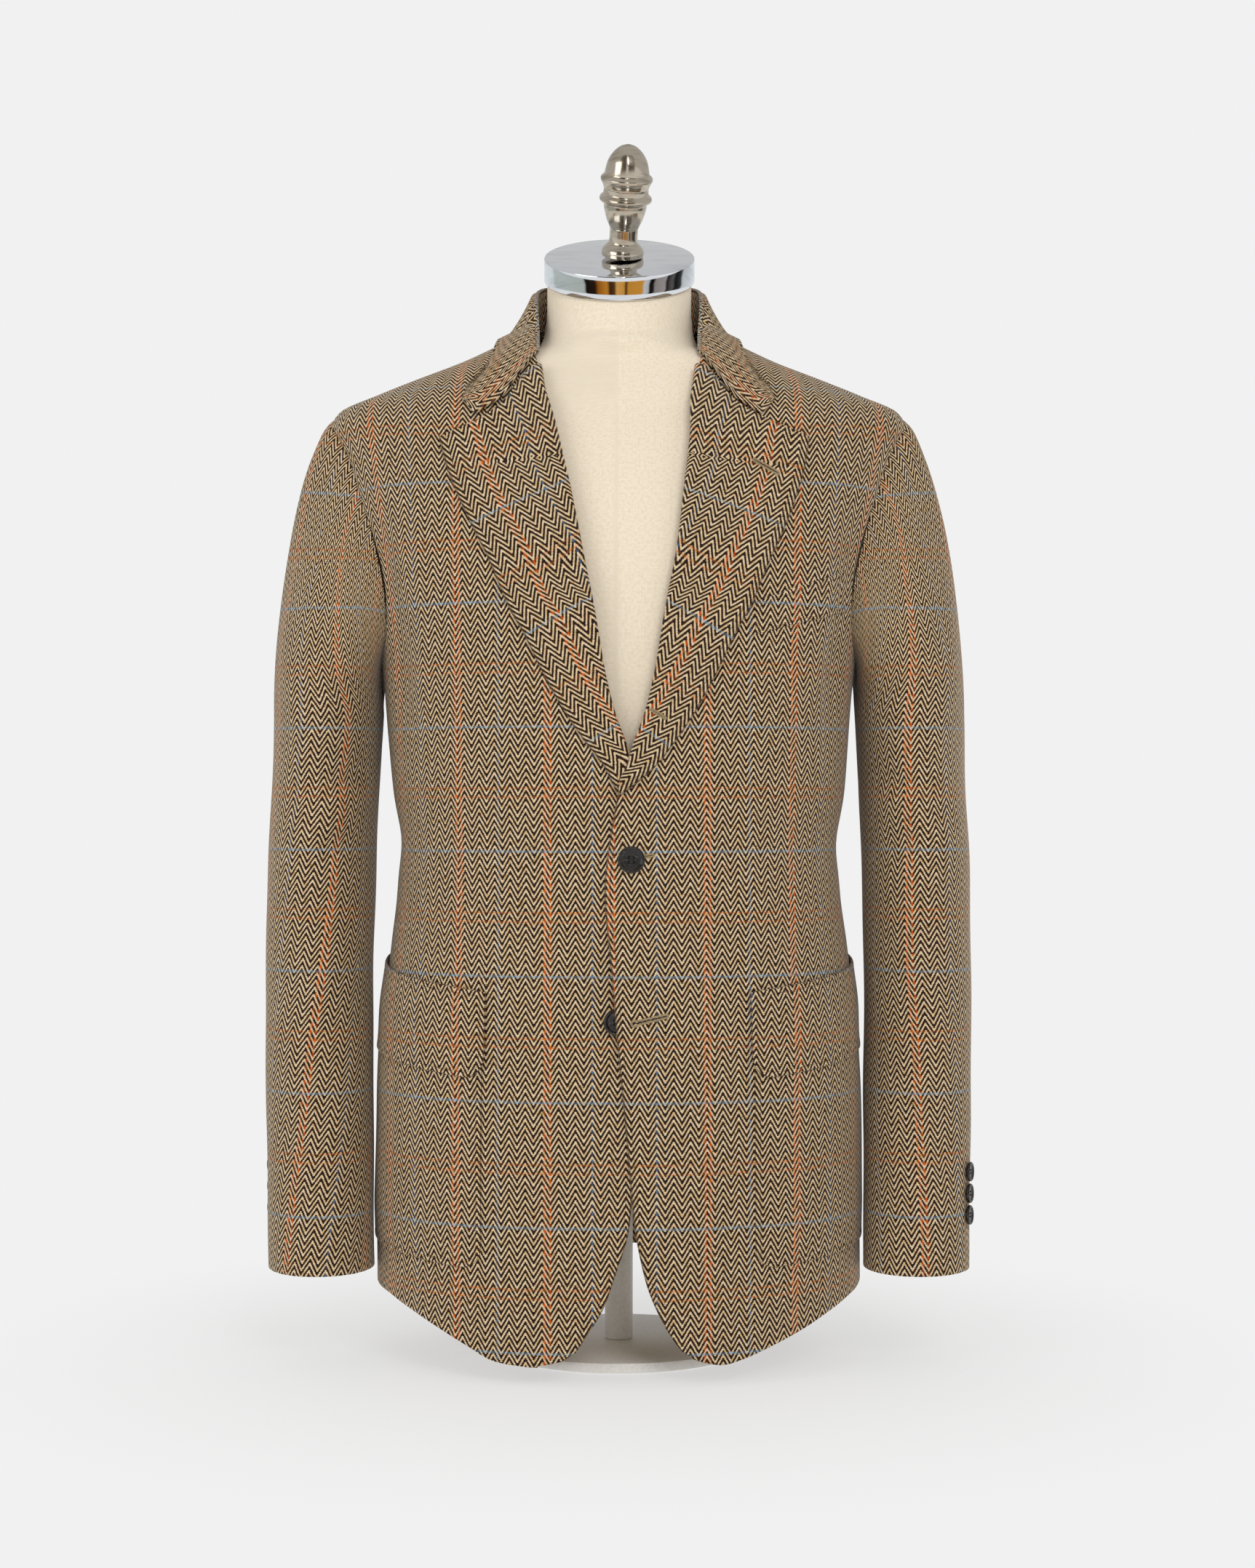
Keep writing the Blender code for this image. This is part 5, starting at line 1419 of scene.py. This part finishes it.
# %% [markdown]
# ## Buttons and buttonholes
#
# A horn button is turned with a rim and a dish, drilled with four holes and sewn with dark thread in
# two bars. Here it is a turned outline whose points near each hole are pushed in. A buttonhole is a
# slit with close stitches round it, worked in silk twist: two fine ridges that meet at its ends.

# %% Small hard things
def turned_solid(name, outline, base, axis, finish, segments, pits=(), angle=30):
    """Rings of (height, radius) rows about an axis; pits are (distance, number, radius, depth)."""
    axis = unit(np.asarray(axis, float))
    first = unit(np.cross(axis, [1.0, 0.0, 0.0] if abs(axis[0]) < 0.9 else [0.0, 1.0, 0.0]))
    second = np.cross(axis, first)
    high, wide = np.array(outline, float).T[:, :, None]
    turn = np.linspace(0, 2 * np.pi, segments, endpoint=False)[None, :]
    x, y = wide * np.cos(turn), wide * np.sin(turn)
    high = high + 0 * turn
    for distance, number, radius, depth in pits:
        for spot in range(number):
            at = 2 * np.pi * (spot + 0.5) / number
            away = np.hypot(x - distance * np.cos(at), y - distance * np.sin(at))
            upper = (np.arange(len(high)) > len(high) / 2)[:, None]
            high = high - depth * (1 - soft_step(away, radius * 0.75, radius)) * upper
    points = np.asarray(base) + axis * high[..., None] + first * x[..., None] + second * y[..., None]
    rows = len(points)
    index = np.arange(rows * segments).reshape(rows, segments)
    after = np.roll(index, -1, axis=1)
    faces = np.stack([index[:-1].ravel(), after[:-1].ravel(), after[1:].ravel(), index[1:].ravel()], axis=1)
    mesh = bpy.data.meshes.new(name)
    ends = [index[0][::-1].tolist(), index[-1].tolist()]
    mesh.from_pydata(points.reshape(-1, 3).tolist(), [], faces.tolist() + ends)
    return finished(name, mesh, finish, angle)


def outline_through(rows, count):
    """Points evenly along a polyline's number of rows, eased between them."""
    rows = np.asarray(rows, float)
    return curve_through(rows, np.linspace(0, len(rows) - 1, count))


def tube(name, path, radius, finish, closed=False, sides=8, flat=1.0):
    """A round cord along a path of points, with flat as its height over its width."""
    path = np.asarray(path, float)
    way = unit(np.gradient(path, axis=0)) if not closed else unit(np.roll(path, -1, 0) - np.roll(path, 1, 0))
    beside = unit(np.cross(way, [0.0, -1.0, 0.0001]))
    out = np.cross(beside, way)
    turn = np.linspace(0, 2 * np.pi, sides, endpoint=False)[None, :, None]
    radius = np.broadcast_to(np.asarray(radius, float), (len(path),))[:, None, None]
    rings = path[:, None] + radius * (np.cos(turn) * beside[:, None] + flat * np.sin(turn) * out[:, None])
    index = np.arange(len(path) * sides).reshape(len(path), sides)
    low, high = (index, np.roll(index, -1, axis=0)) if closed else (index[:-1], index[1:])
    near, far = np.roll(low, -1, axis=1), np.roll(high, -1, axis=1)
    faces = np.stack([low.ravel(), near.ravel(), far.ravel(), high.ravel()], axis=1).tolist()
    if not closed:
        faces += [index[0][::-1].tolist(), index[-1].tolist()]
    mesh = bpy.data.meshes.new(name)
    mesh.from_pydata(rings.reshape(-1, 3).tolist(), [], faces)
    return finished(name, mesh, finish, 60)


# Height and share of the radius: the underside, the round rim, the step and the dished middle.
BUTTON_RINGS = ((0, 0.0), (0, 0.60), (0.0006, 0.90), (0.0013, 0.985), (0.0019, 1.0), (0.0026, 0.985),
                (0.0031, 0.93), (0.0032, 0.87), (0.0030, 0.81), (0.0024, 0.74), (0.0021, 0.66),
                (0.0021, 0.55), (0.0020, 0.40), (0.0020, 0.25), (0.0020, 0.0))


def make_button(name, node, point, normal, diameter, seat):
    """A turned disc with four pits on a square, and two bars of thread that rise as 1 - t^2."""
    outline = outline_through(BUTTON_RINGS, 57) * [1, diameter / 2]
    outline[:, 1] = np.maximum(outline[:, 1], 0.00002)
    base = point + normal * seat
    hole = diameter * 0.115
    made = turned_solid(name, outline, base, normal, HORN, 72, pits=((hole, 4, diameter * 0.052, 0.0011),))
    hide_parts(node)
    first = unit(np.cross(normal, [1.0, 0.0, 0.0] if abs(normal[0]) < 0.9 else [0.0, 1.0, 0.0]))
    second = np.cross(normal, first)
    reach = hole * math.cos(math.pi / 4)
    step = np.linspace(-1, 1, 15)
    for bar in (-1, 1):
        high = 0.0024 + 0.0005 * (1 - step**2) - 0.0010 * (np.abs(step) > 0.93)
        path = base + normal * high[:, None] + first * (bar * reach) + second * (step * reach)[:, None]
        tube(f"thread_{name}_{'low' if bar < 0 else 'high'}", path, 0.00042 * diameter / 0.015, BLACK_THREAD)


def buttons():
    """Two on the front and three at each cuff, each along the surface's own normal."""
    for name, x, height, out in (
        ("front_top", TOP_BUTTON_X, TOP_BUTTON_Z, float(overlap(TOP_BUTTON_X, TOP_BUTTON_Z))),
        ("front_low", LOW_BUTTON_X, LOW_BUTTON_Z, 0.0),
    ):
        angle = float(front_angle(x, height))
        low, high = around(angle, height, out), around(angle, height, out + 0.01)
        make_button(f"horn_button_{name}", f"button_{name}", placed(low), (high - low) / 0.01, 0.0200, 0.0009)
    for name, side, turn in (("left", 1, CUFF_BUTTON_LEFT), ("right", -1, CUFF_BUTTON_RIGHT)):
        for number, height in enumerate(CUFF_BUTTONS):
            ring = sleeve_ring(np.array([turn - 1, turn, turn + 1]), np.full(3, height))
            above = sleeve_ring(np.array([turn]), np.array([height + 0.001]))[0]
            normal = unit(np.cross(above - ring[1], ring[2] - ring[0]))
            normal = normal * np.sign(normal[0])
            make_button(f"horn_button_cuff_{name}_{number + 1}", f"button_cuff_{name}_{number + 1}",
                        placed(ring[1], side), normal * [side, 1, 1], 0.0150, 0.0005)


buttons()
print("eight horn buttons")

# %% Buttonholes
def lying_at(x, height, piece):
    """How far forward a piece's outside lies at x and height: its four nearest points, weighted."""
    mesh = bpy.data.objects[piece].data
    points = np.empty(len(mesh.vertices) * 3)
    mesh.vertices.foreach_get("co", points)
    points = points.reshape(-1, 3)[: len(mesh.vertices) // 2]
    away = np.hypot(points[:, 0] - x[:, None], points[:, 2] - height[:, None])
    near = np.argsort(away, axis=1)[:, :4]
    weight = 1 / (np.take_along_axis(away, near, axis=1) + 1e-5)
    return (points[near, 1] * weight).sum(axis=1) / weight.sum(axis=1)


def buttonhole(name, start, end, piece, half=0.0010, eye=0.0):
    """A loop of close stitches round a slit; eye widens one end to a keyhole."""
    start, end = np.array(start), np.array(end)
    way = unit(end - start)
    beside = np.array([-way[1], way[0]])
    turn = np.linspace(0, 2 * np.pi, 96, endpoint=False)
    along = np.clip(np.cos(turn) * 1.06, -1, 1)
    wide = half * np.sign(np.sin(turn)) * np.abs(np.sin(turn)) ** 0.45
    wide = wide * (1 + eye * bell(along + 0.9, 0.22))
    flat = (start + end) / 2 + np.outer(along, (end - start) / 2) + np.outer(wide, beside)
    y = lying_at(flat[:, 0], flat[:, 1], piece)
    loop = np.stack([flat[:, 0], y, flat[:, 1]], axis=-1)
    ridge = 0.00075 * (1 + 0.16 * np.sin(np.arange(96) * 2 * np.pi / 3))
    tube(name, loop, ridge, TWIST, closed=True, flat=0.75)
    share = np.linspace(0.03, 0.97, 30)
    middle = mix(start, end, share[:, None])
    slit = np.stack([middle[:, 0], lying_at(middle[:, 0], middle[:, 1], piece), middle[:, 1]], axis=-1)
    tube(f"{name}_slit", slit, 0.00045, BLACK_THREAD, flat=0.5)


buttonhole("buttonhole_lapel", (0.1010, 0.6880), (0.1200, 0.6775), "cloth_lapel_left", half=0.0012)
buttonhole("buttonhole_roll", (0.0233, 0.5002), (0.0351, 0.4932), "cloth_lapel_left", half=0.0008)
buttonhole("buttonhole_top", (0.0190, 0.3915), (0.0262, 0.3925), "cloth_front_left", half=0.0009)
buttonhole("buttonhole_low", (0.0099, 0.2684), (0.0366, 0.2743), "cloth_front_left", half=0.0014, eye=0.8)
print("four buttonholes")

# %% [markdown]
# ## Form, cap, finial and stand
#
# The form is a padded shell covered in linen: the jacket's own surface drawn in by a few
# millimetres, closed over the shoulders into a bare neck that leans forward. The cap is a cast,
# turned and chromed disc, with a finial on it like those of old tailors' busts. The stand is a plain
# pole on a plate.

# %% Form and stand
FORM_GAP, FORM_SHOULDER_GAP, FORM_SHOULDER = 0.0075, 0.0031, 0.190
FORM_BOTTOM, FORM_HEM, FORM_TURN_IN, FORM_YOKE = 0.155, 0.015, 0.012, 0.720
FORM_SLOPE = (0.7345, 0.745, 0.755, 0.765, 0.775)
FORM_SHOULDER_REACH = 0.014
SHOULDER_REST = (0.725, 0.755)
NECK_RADIUS = 0.0565
NECK_FOOT = (0.0, 0.0050, 0.7850)
NECK_RINGS = ((0.0, 0.0650), (0.30, 0.0580), (0.65, NECK_RADIUS), (1.0, NECK_RADIUS))
CAP_RADIUS, CAP_BAND = 0.0588, 0.0192
CAP_TILT = math.radians(25.0)
CAP_TOP = (0.0005, -0.0080, 0.8572)
FINIAL_X, FINIAL_LEAN, FINIAL_FOOT = 0.0024, math.radians(3.2), 0.007
STAND_Y, POLE_RADIUS, BASE_RADIUS, BASE_THICK = 0.012, 0.011, 0.100, 0.008
CAP_AXIS = np.array([0.0, -math.sin(CAP_TILT), math.cos(CAP_TILT)])


def form_ring(angles, height):
    """The jacket's section drawn in; past the shoulder its reach is held by tanh."""
    gap = mix(FORM_GAP, FORM_SHOULDER_GAP, soft_step(height, *SHOULDER_REST))
    ring = around(angles, height, -gap)
    beyond = np.maximum(np.abs(ring[:, 0]) - FORM_SHOULDER, 0)
    kept = FORM_SHOULDER_REACH * np.tanh(beyond / FORM_SHOULDER_REACH)
    ring[:, 0] -= np.sign(ring[:, 0]) * (beyond - kept)
    return ring


def make_form(segments=240, fine=5):
    """Rings up the body, over the slope and up the leaning neck, eased into one another."""
    angles = np.linspace(0, 360, segments, endpoint=False)
    top = np.array(CAP_TOP) - CAP_AXIS * (CAP_BAND + SEAM)
    levels = list(np.linspace(FORM_BOTTOM + FORM_HEM, FORM_YOKE, 30)) + list(FORM_SLOPE)
    bottom = around(angles, levels[0], -FORM_GAP - FORM_TURN_IN) * [1, 1, 0] + [0, 0, FORM_BOTTOM]
    rings = [bottom] + [form_ring(angles, height) for height in levels]
    turn = np.radians(angles)[:, None]
    for share, radius in NECK_RINGS:
        tilt = CAP_TILT * share
        forward = np.array([0.0, -math.cos(tilt), -math.sin(tilt)])
        circle = radius * (np.sin(turn) * [1.0, 0.0, 0.0] + np.cos(turn) * forward)
        rings.append(mix(np.array(NECK_FOOT), top, share) + circle)
    rings = np.array(rings)
    at = np.linspace(0, len(rings) - 1, (len(rings) - 1) * fine + 1)
    smooth = placed(curve_through(rings.reshape(len(rings), -1), at).reshape(len(at), segments, 3))
    around_ring = np.linalg.norm(np.roll(smooth, -1, axis=1) - smooth, axis=-1)
    across = np.cumsum(around_ring, axis=1) - around_ring
    rise = np.cumsum(np.linalg.norm(np.diff(smooth, axis=0, prepend=smooth[:1]), axis=-1), axis=0)
    grain = np.stack([across, rise], axis=-1).reshape(-1, 2)
    index = np.arange(len(at) * segments).reshape(len(at), segments)
    after = np.roll(index, -1, axis=1)
    faces = np.stack([index[:-1].ravel(), after[:-1].ravel(), after[1:].ravel(), index[1:].ravel()], axis=1)
    mesh = bpy.data.meshes.new("form_cover")
    ends = [index[0][::-1].tolist(), index[-1].tolist()]
    mesh.from_pydata(smooth.reshape(-1, 3).tolist(), [], faces.tolist() + ends)
    corners = np.empty(len(mesh.loops), np.int32)
    mesh.loops.foreach_get("vertex_index", corners)
    mesh.uv_layers.new(name="cloth").data.foreach_set("uv", grain[corners].ravel().astype(np.float32))
    made = finished("form_cover", mesh, LINEN, 50)
    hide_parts("form_torso")


def make_hardware():
    """Cap, finial, plate and pole, each a profile turned about its axis."""
    top = np.array(CAP_TOP) - CAP_AXIS * CAP_BAND
    band = ((0, 0.0001), (0, CAP_RADIUS - 0.0010), (0.0003, CAP_RADIUS - 0.0003), (0.0010, CAP_RADIUS),
            (0.0060, CAP_RADIUS), (0.0120, CAP_RADIUS), (CAP_BAND - 0.0012, CAP_RADIUS),
            (CAP_BAND - 0.0006, CAP_RADIUS - 0.0001), (CAP_BAND - 0.0002, CAP_RADIUS - 0.0004),
            (CAP_BAND, CAP_RADIUS - 0.0010), (CAP_BAND, CAP_RADIUS * 0.6), (CAP_BAND, 0.0001))
    cap = turned_solid("chromed_cap", band, placed(top), CAP_AXIS, CHROME, 192, angle=35)
    lean = np.array([math.sin(FINIAL_LEAN), 0.0, 0.0])
    foot = max(radius for height, radius in FINIAL if height < FINIAL_FOOT)
    seat = np.array(CAP_TOP) + [FINIAL_X, 0, 0] + CAP_AXIS * (SEAM + foot * FINIAL_LEAN)
    profile = np.array(FINIAL, float)
    outline = curve_through(profile, np.linspace(0, len(profile) - 1, 6 * (len(profile) - 1) + 1))
    finial = turned_solid("turned_finial", outline, placed(seat), CAP_AXIS + lean, NICKEL, 96, angle=50)
    plate = ((0, 0.0001), (0, BASE_RADIUS - 0.0020), (0.0006, BASE_RADIUS - 0.0006), (0.0020, BASE_RADIUS),
             (BASE_THICK - 0.0020, BASE_RADIUS), (BASE_THICK - 0.0006, BASE_RADIUS - 0.0006),
             (BASE_THICK, BASE_RADIUS - 0.0020), (BASE_THICK, 0.0001))
    base = turned_solid("stand_plate", plate, placed(np.array([0, STAND_Y, 0])), (0, 0, 1), PAINT, 128)
    length = FORM_BOTTOM - BASE_THICK - 2 * SEAM
    foot = placed(np.array([0, STAND_Y, BASE_THICK + SEAM]))
    rod = ((0, 0.0001), (0, POLE_RADIUS), (length, POLE_RADIUS), (length, 0.0001))
    pole = turned_solid("stand_tube", rod, foot, (0, 0, 1), PAINT, 48)
    for made, node, slot in ((cap, "neck_cap", "chrome"), (finial, "finial", "nickel"),
                             (base, "stand_base", "paint"), (pole, "stand_pole", "paint")):
        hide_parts(node)


make_form()
make_hardware()
print("form, cap, finial and stand")

# %% [markdown]
# ## The studio
#
# A product photographer would set this on seamless pale paper, with one large soft source high on
# one side and paper all round. The floor fades into the same tone as the backdrop. Dark flags behind
# the camera exist only to give the chrome something to mirror, and a glowing card near the cap, seen
# only in mirrors, paints the dark and amber reflection on the cap's band.

# %% Camera, light and floor
scene = bpy.context.scene
BACKDROP = linear("#f1f1f1")
LENS, EYE = 80.35, (0.00686, -2.2, 0.445)


def light_area(name, place, aim, power, size):
    """A square lamp that faces its aim: its turns are the arc cosine and arc tangent of the way."""
    made = bpy.data.lights.new(name, "AREA")
    made.energy, made.size = power, size
    held = bpy.data.objects.new(name, made)
    held.location = place
    way = np.array(aim) - np.array(place)
    held.rotation_euler = (math.acos(-way[2] / np.linalg.norm(way)), 0.0, math.atan2(-way[0], way[1]))
    scene.collection.objects.link(held)


def make_camera():
    """A long lens, level, two metres and a bit in front."""
    made = bpy.data.cameras.new("camera")
    made.lens, made.sensor_width, made.sensor_fit = LENS, 36.0, "HORIZONTAL"
    held = bpy.data.objects.new("camera", made)
    held.location = np.array(EYE) + [0, SHIFT_Y, 0]
    held.rotation_euler = (math.radians(90.0), 0.0, 0.0)
    scene.collection.objects.link(held)
    scene.camera = held


def make_world(seen, felt):
    """The backdrop's own tone for the camera, and a softer one for light."""
    world = bpy.data.worlds.new("studio")
    world.use_nodes = True
    tree = world.node_tree
    tree.nodes.clear()
    path = add(tree, "LightPath")
    both = add(tree, "MixShader", _0=path.outputs["Is Camera Ray"])
    for slot, colour in ((1, felt), (2, seen)):
        glow = add(tree, "Background", Color=colour)
        tree.links.new(glow.outputs[0], both.inputs[slot])
    out = add(tree, "OutputWorld")
    tree.links.new(both.outputs[0], out.inputs["Surface"])
    scene.world = world


def make_floor(near=0.10, far=0.60, albedo=0.86, faint=0.62):
    """Matte paper that turns, with distance from the middle, into the backdrop's own tone."""
    made = bpy.data.materials.new("seamless_paper")
    made.use_nodes = True
    tree = made.node_tree
    tree.nodes.clear()
    where = add(tree, "TexCoord").outputs["Object"]
    away = add(tree, "VectorMath", {"operation": "LENGTH"}, _0=where).outputs["Value"]
    paper = add(tree, "BsdfDiffuse", Color=(albedo, albedo, albedo, 1.0))
    glow = add(tree, "Emission", Color=BACKDROP)
    share = maths(tree, "MULTIPLY_ADD", ramp(tree, away, near, far), 1.0 - faint, faint)
    both = add(tree, "MixShader", _0=share)
    tree.links.new(paper.outputs[0], both.inputs[1])
    tree.links.new(glow.outputs[0], both.inputs[2])
    out = add(tree, "OutputMaterial")
    tree.links.new(both.outputs[0], out.inputs["Surface"])
    mesh = bpy.data.meshes.new("floor")
    rim = 30.0
    mesh.from_pydata([(-rim, -rim, 0), (rim, -rim, 0), (rim, rim, 0), (-rim, rim, 0)], [], [(0, 1, 2, 3)])
    mesh.materials.append(made)
    floor = bpy.data.objects.new("floor", mesh)
    scene.collection.objects.link(floor)
    floor.location.z = -0.0003


def make_flag(name, points, colour):
    """A card that only a mirror sees; its colour is read from its UV map."""
    made = bpy.data.materials.new(name)
    made.use_nodes = True
    tree = made.node_tree
    tree.nodes.clear()
    where = add(tree, "SeparateXYZ", Vector=add(tree, "UVMap", {"uv_map": "card"}).outputs[0])
    tones = add(tree, "ValToRGB", _0=where.outputs[0])
    for at, code in colour[2:]:
        tones.color_ramp.elements.new(at)
    for stop, (at, code) in zip(tones.color_ramp.elements, colour):
        stop.position, stop.color = at, linear(code)
    glow = add(tree, "Emission", Color=tones.outputs[0])
    out = add(tree, "OutputMaterial")
    tree.links.new(glow.outputs[0], out.inputs["Surface"])
    columns = points.shape[1]
    index = np.arange(2 * columns).reshape(2, columns)
    faces = np.stack([index[0, :-1], index[0, 1:], index[1, 1:], index[1, :-1]], axis=1)
    mesh = bpy.data.meshes.new(name)
    mesh.from_pydata(points.reshape(-1, 3).tolist(), [], faces.tolist())
    corners = np.empty(len(mesh.loops), np.int32)
    mesh.loops.foreach_get("vertex_index", corners)
    share = np.tile(np.linspace(0, 1, columns), 2)[corners]
    uv = np.stack([share, 0 * share], axis=1).astype(np.float32)
    mesh.uv_layers.new(name="card").data.foreach_set("uv", uv.ravel())
    mesh.materials.append(made)
    held = bpy.data.objects.new(name, mesh)
    held.visible_camera = held.visible_diffuse = held.visible_shadow = False
    scene.collection.objects.link(held)


# The reflection painted on the cap's band by its card, from the wearer's right (0) to the left (1).
BAND_TONES = (
    (0.000, "#e4e8ea"), (0.060, "#dfe4e4"), (0.075, "#bfc6c2"), (0.270, "#b4bab4"), (0.285, "#17110d"),
    (0.345, "#2b1a0e"), (0.365, "#9a5a18"), (0.420, "#c4812a"), (0.440, "#3a2413"), (0.470, "#5a3716"),
    (0.485, "#d9a258"), (0.530, "#cf9440"), (0.545, "#2a1b10"), (0.560, "#c98a34"), (0.650, "#cf9038"),
    (0.665, "#c8c8c6"), (0.690, "#b9b9b8"), (0.700, "#0f0e0f"), (0.722, "#1a1818"), (0.735, "#8f8783"),
    (0.800, "#a09894"), (0.812, "#1d1b1c"), (0.850, "#5d5957"), (0.870, "#121212"), (0.905, "#3c3b3c"),
    (0.920, "#c9ccce"), (1.000, "#e4e8ea"),
)


def band_card(away=0.45, low=-0.06, high=0.06, columns=160):
    """A card that paints the band's reflection, set where the camera's ray goes after the cap's band: d - 2
    (d . n) n, for each place across it.
    """
    across = np.linspace(-0.995, 0.995, columns)
    ahead = np.sqrt(1 - across**2)
    forward = np.array([0.0, -math.cos(CAP_TILT), -math.sin(CAP_TILT)])
    normal = across[:, None] * [1.0, 0.0, 0.0] + ahead[:, None] * forward
    place = np.array(CAP_TOP) - CAP_AXIS * CAP_BAND / 2 + normal * CAP_RADIUS
    sight = unit(place - np.array(EYE))
    back = sight - 2 * np.sum(sight * normal, axis=-1, keepdims=True) * normal
    far = placed(place + back * away)
    return np.stack([far + [0, 0, low], far + [0, 0, high]])


def standing(x, width, y, low, high):
    """An upright rectangle that faces along Y."""
    return np.array([[(x, y, low), (x + width, y, low)], [(x, y, high), (x + width, y, high)]])


make_camera()
make_world(BACKDROP, (0.60, 0.60, 0.60, 1.0))
make_floor()
light_area("key", (0.9, -3.2, 2.2), (0, 0, 0.5), 45.0, 1.4)
light_area("fill", (-2.2, -2.0, 1.2), (0, 0, 0.4), 20.0, 1.8)
make_flag("card_for_the_band", band_card(), BAND_TONES)
make_flag("card_left", standing(-2.2, 1.95, -2.7, 0.3, 3.5), ((0.0, "#8f877a"), (1.0, "#4a4238")))
make_flag("card_right", standing(0.35, 1.95, -2.7, 0.3, 3.5), ((0.0, "#3d362e"), (1.0, "#8f877a")))
scene.view_settings.view_transform = "Standard"

# %% Last update of the scene
bpy.context.view_layer.update()
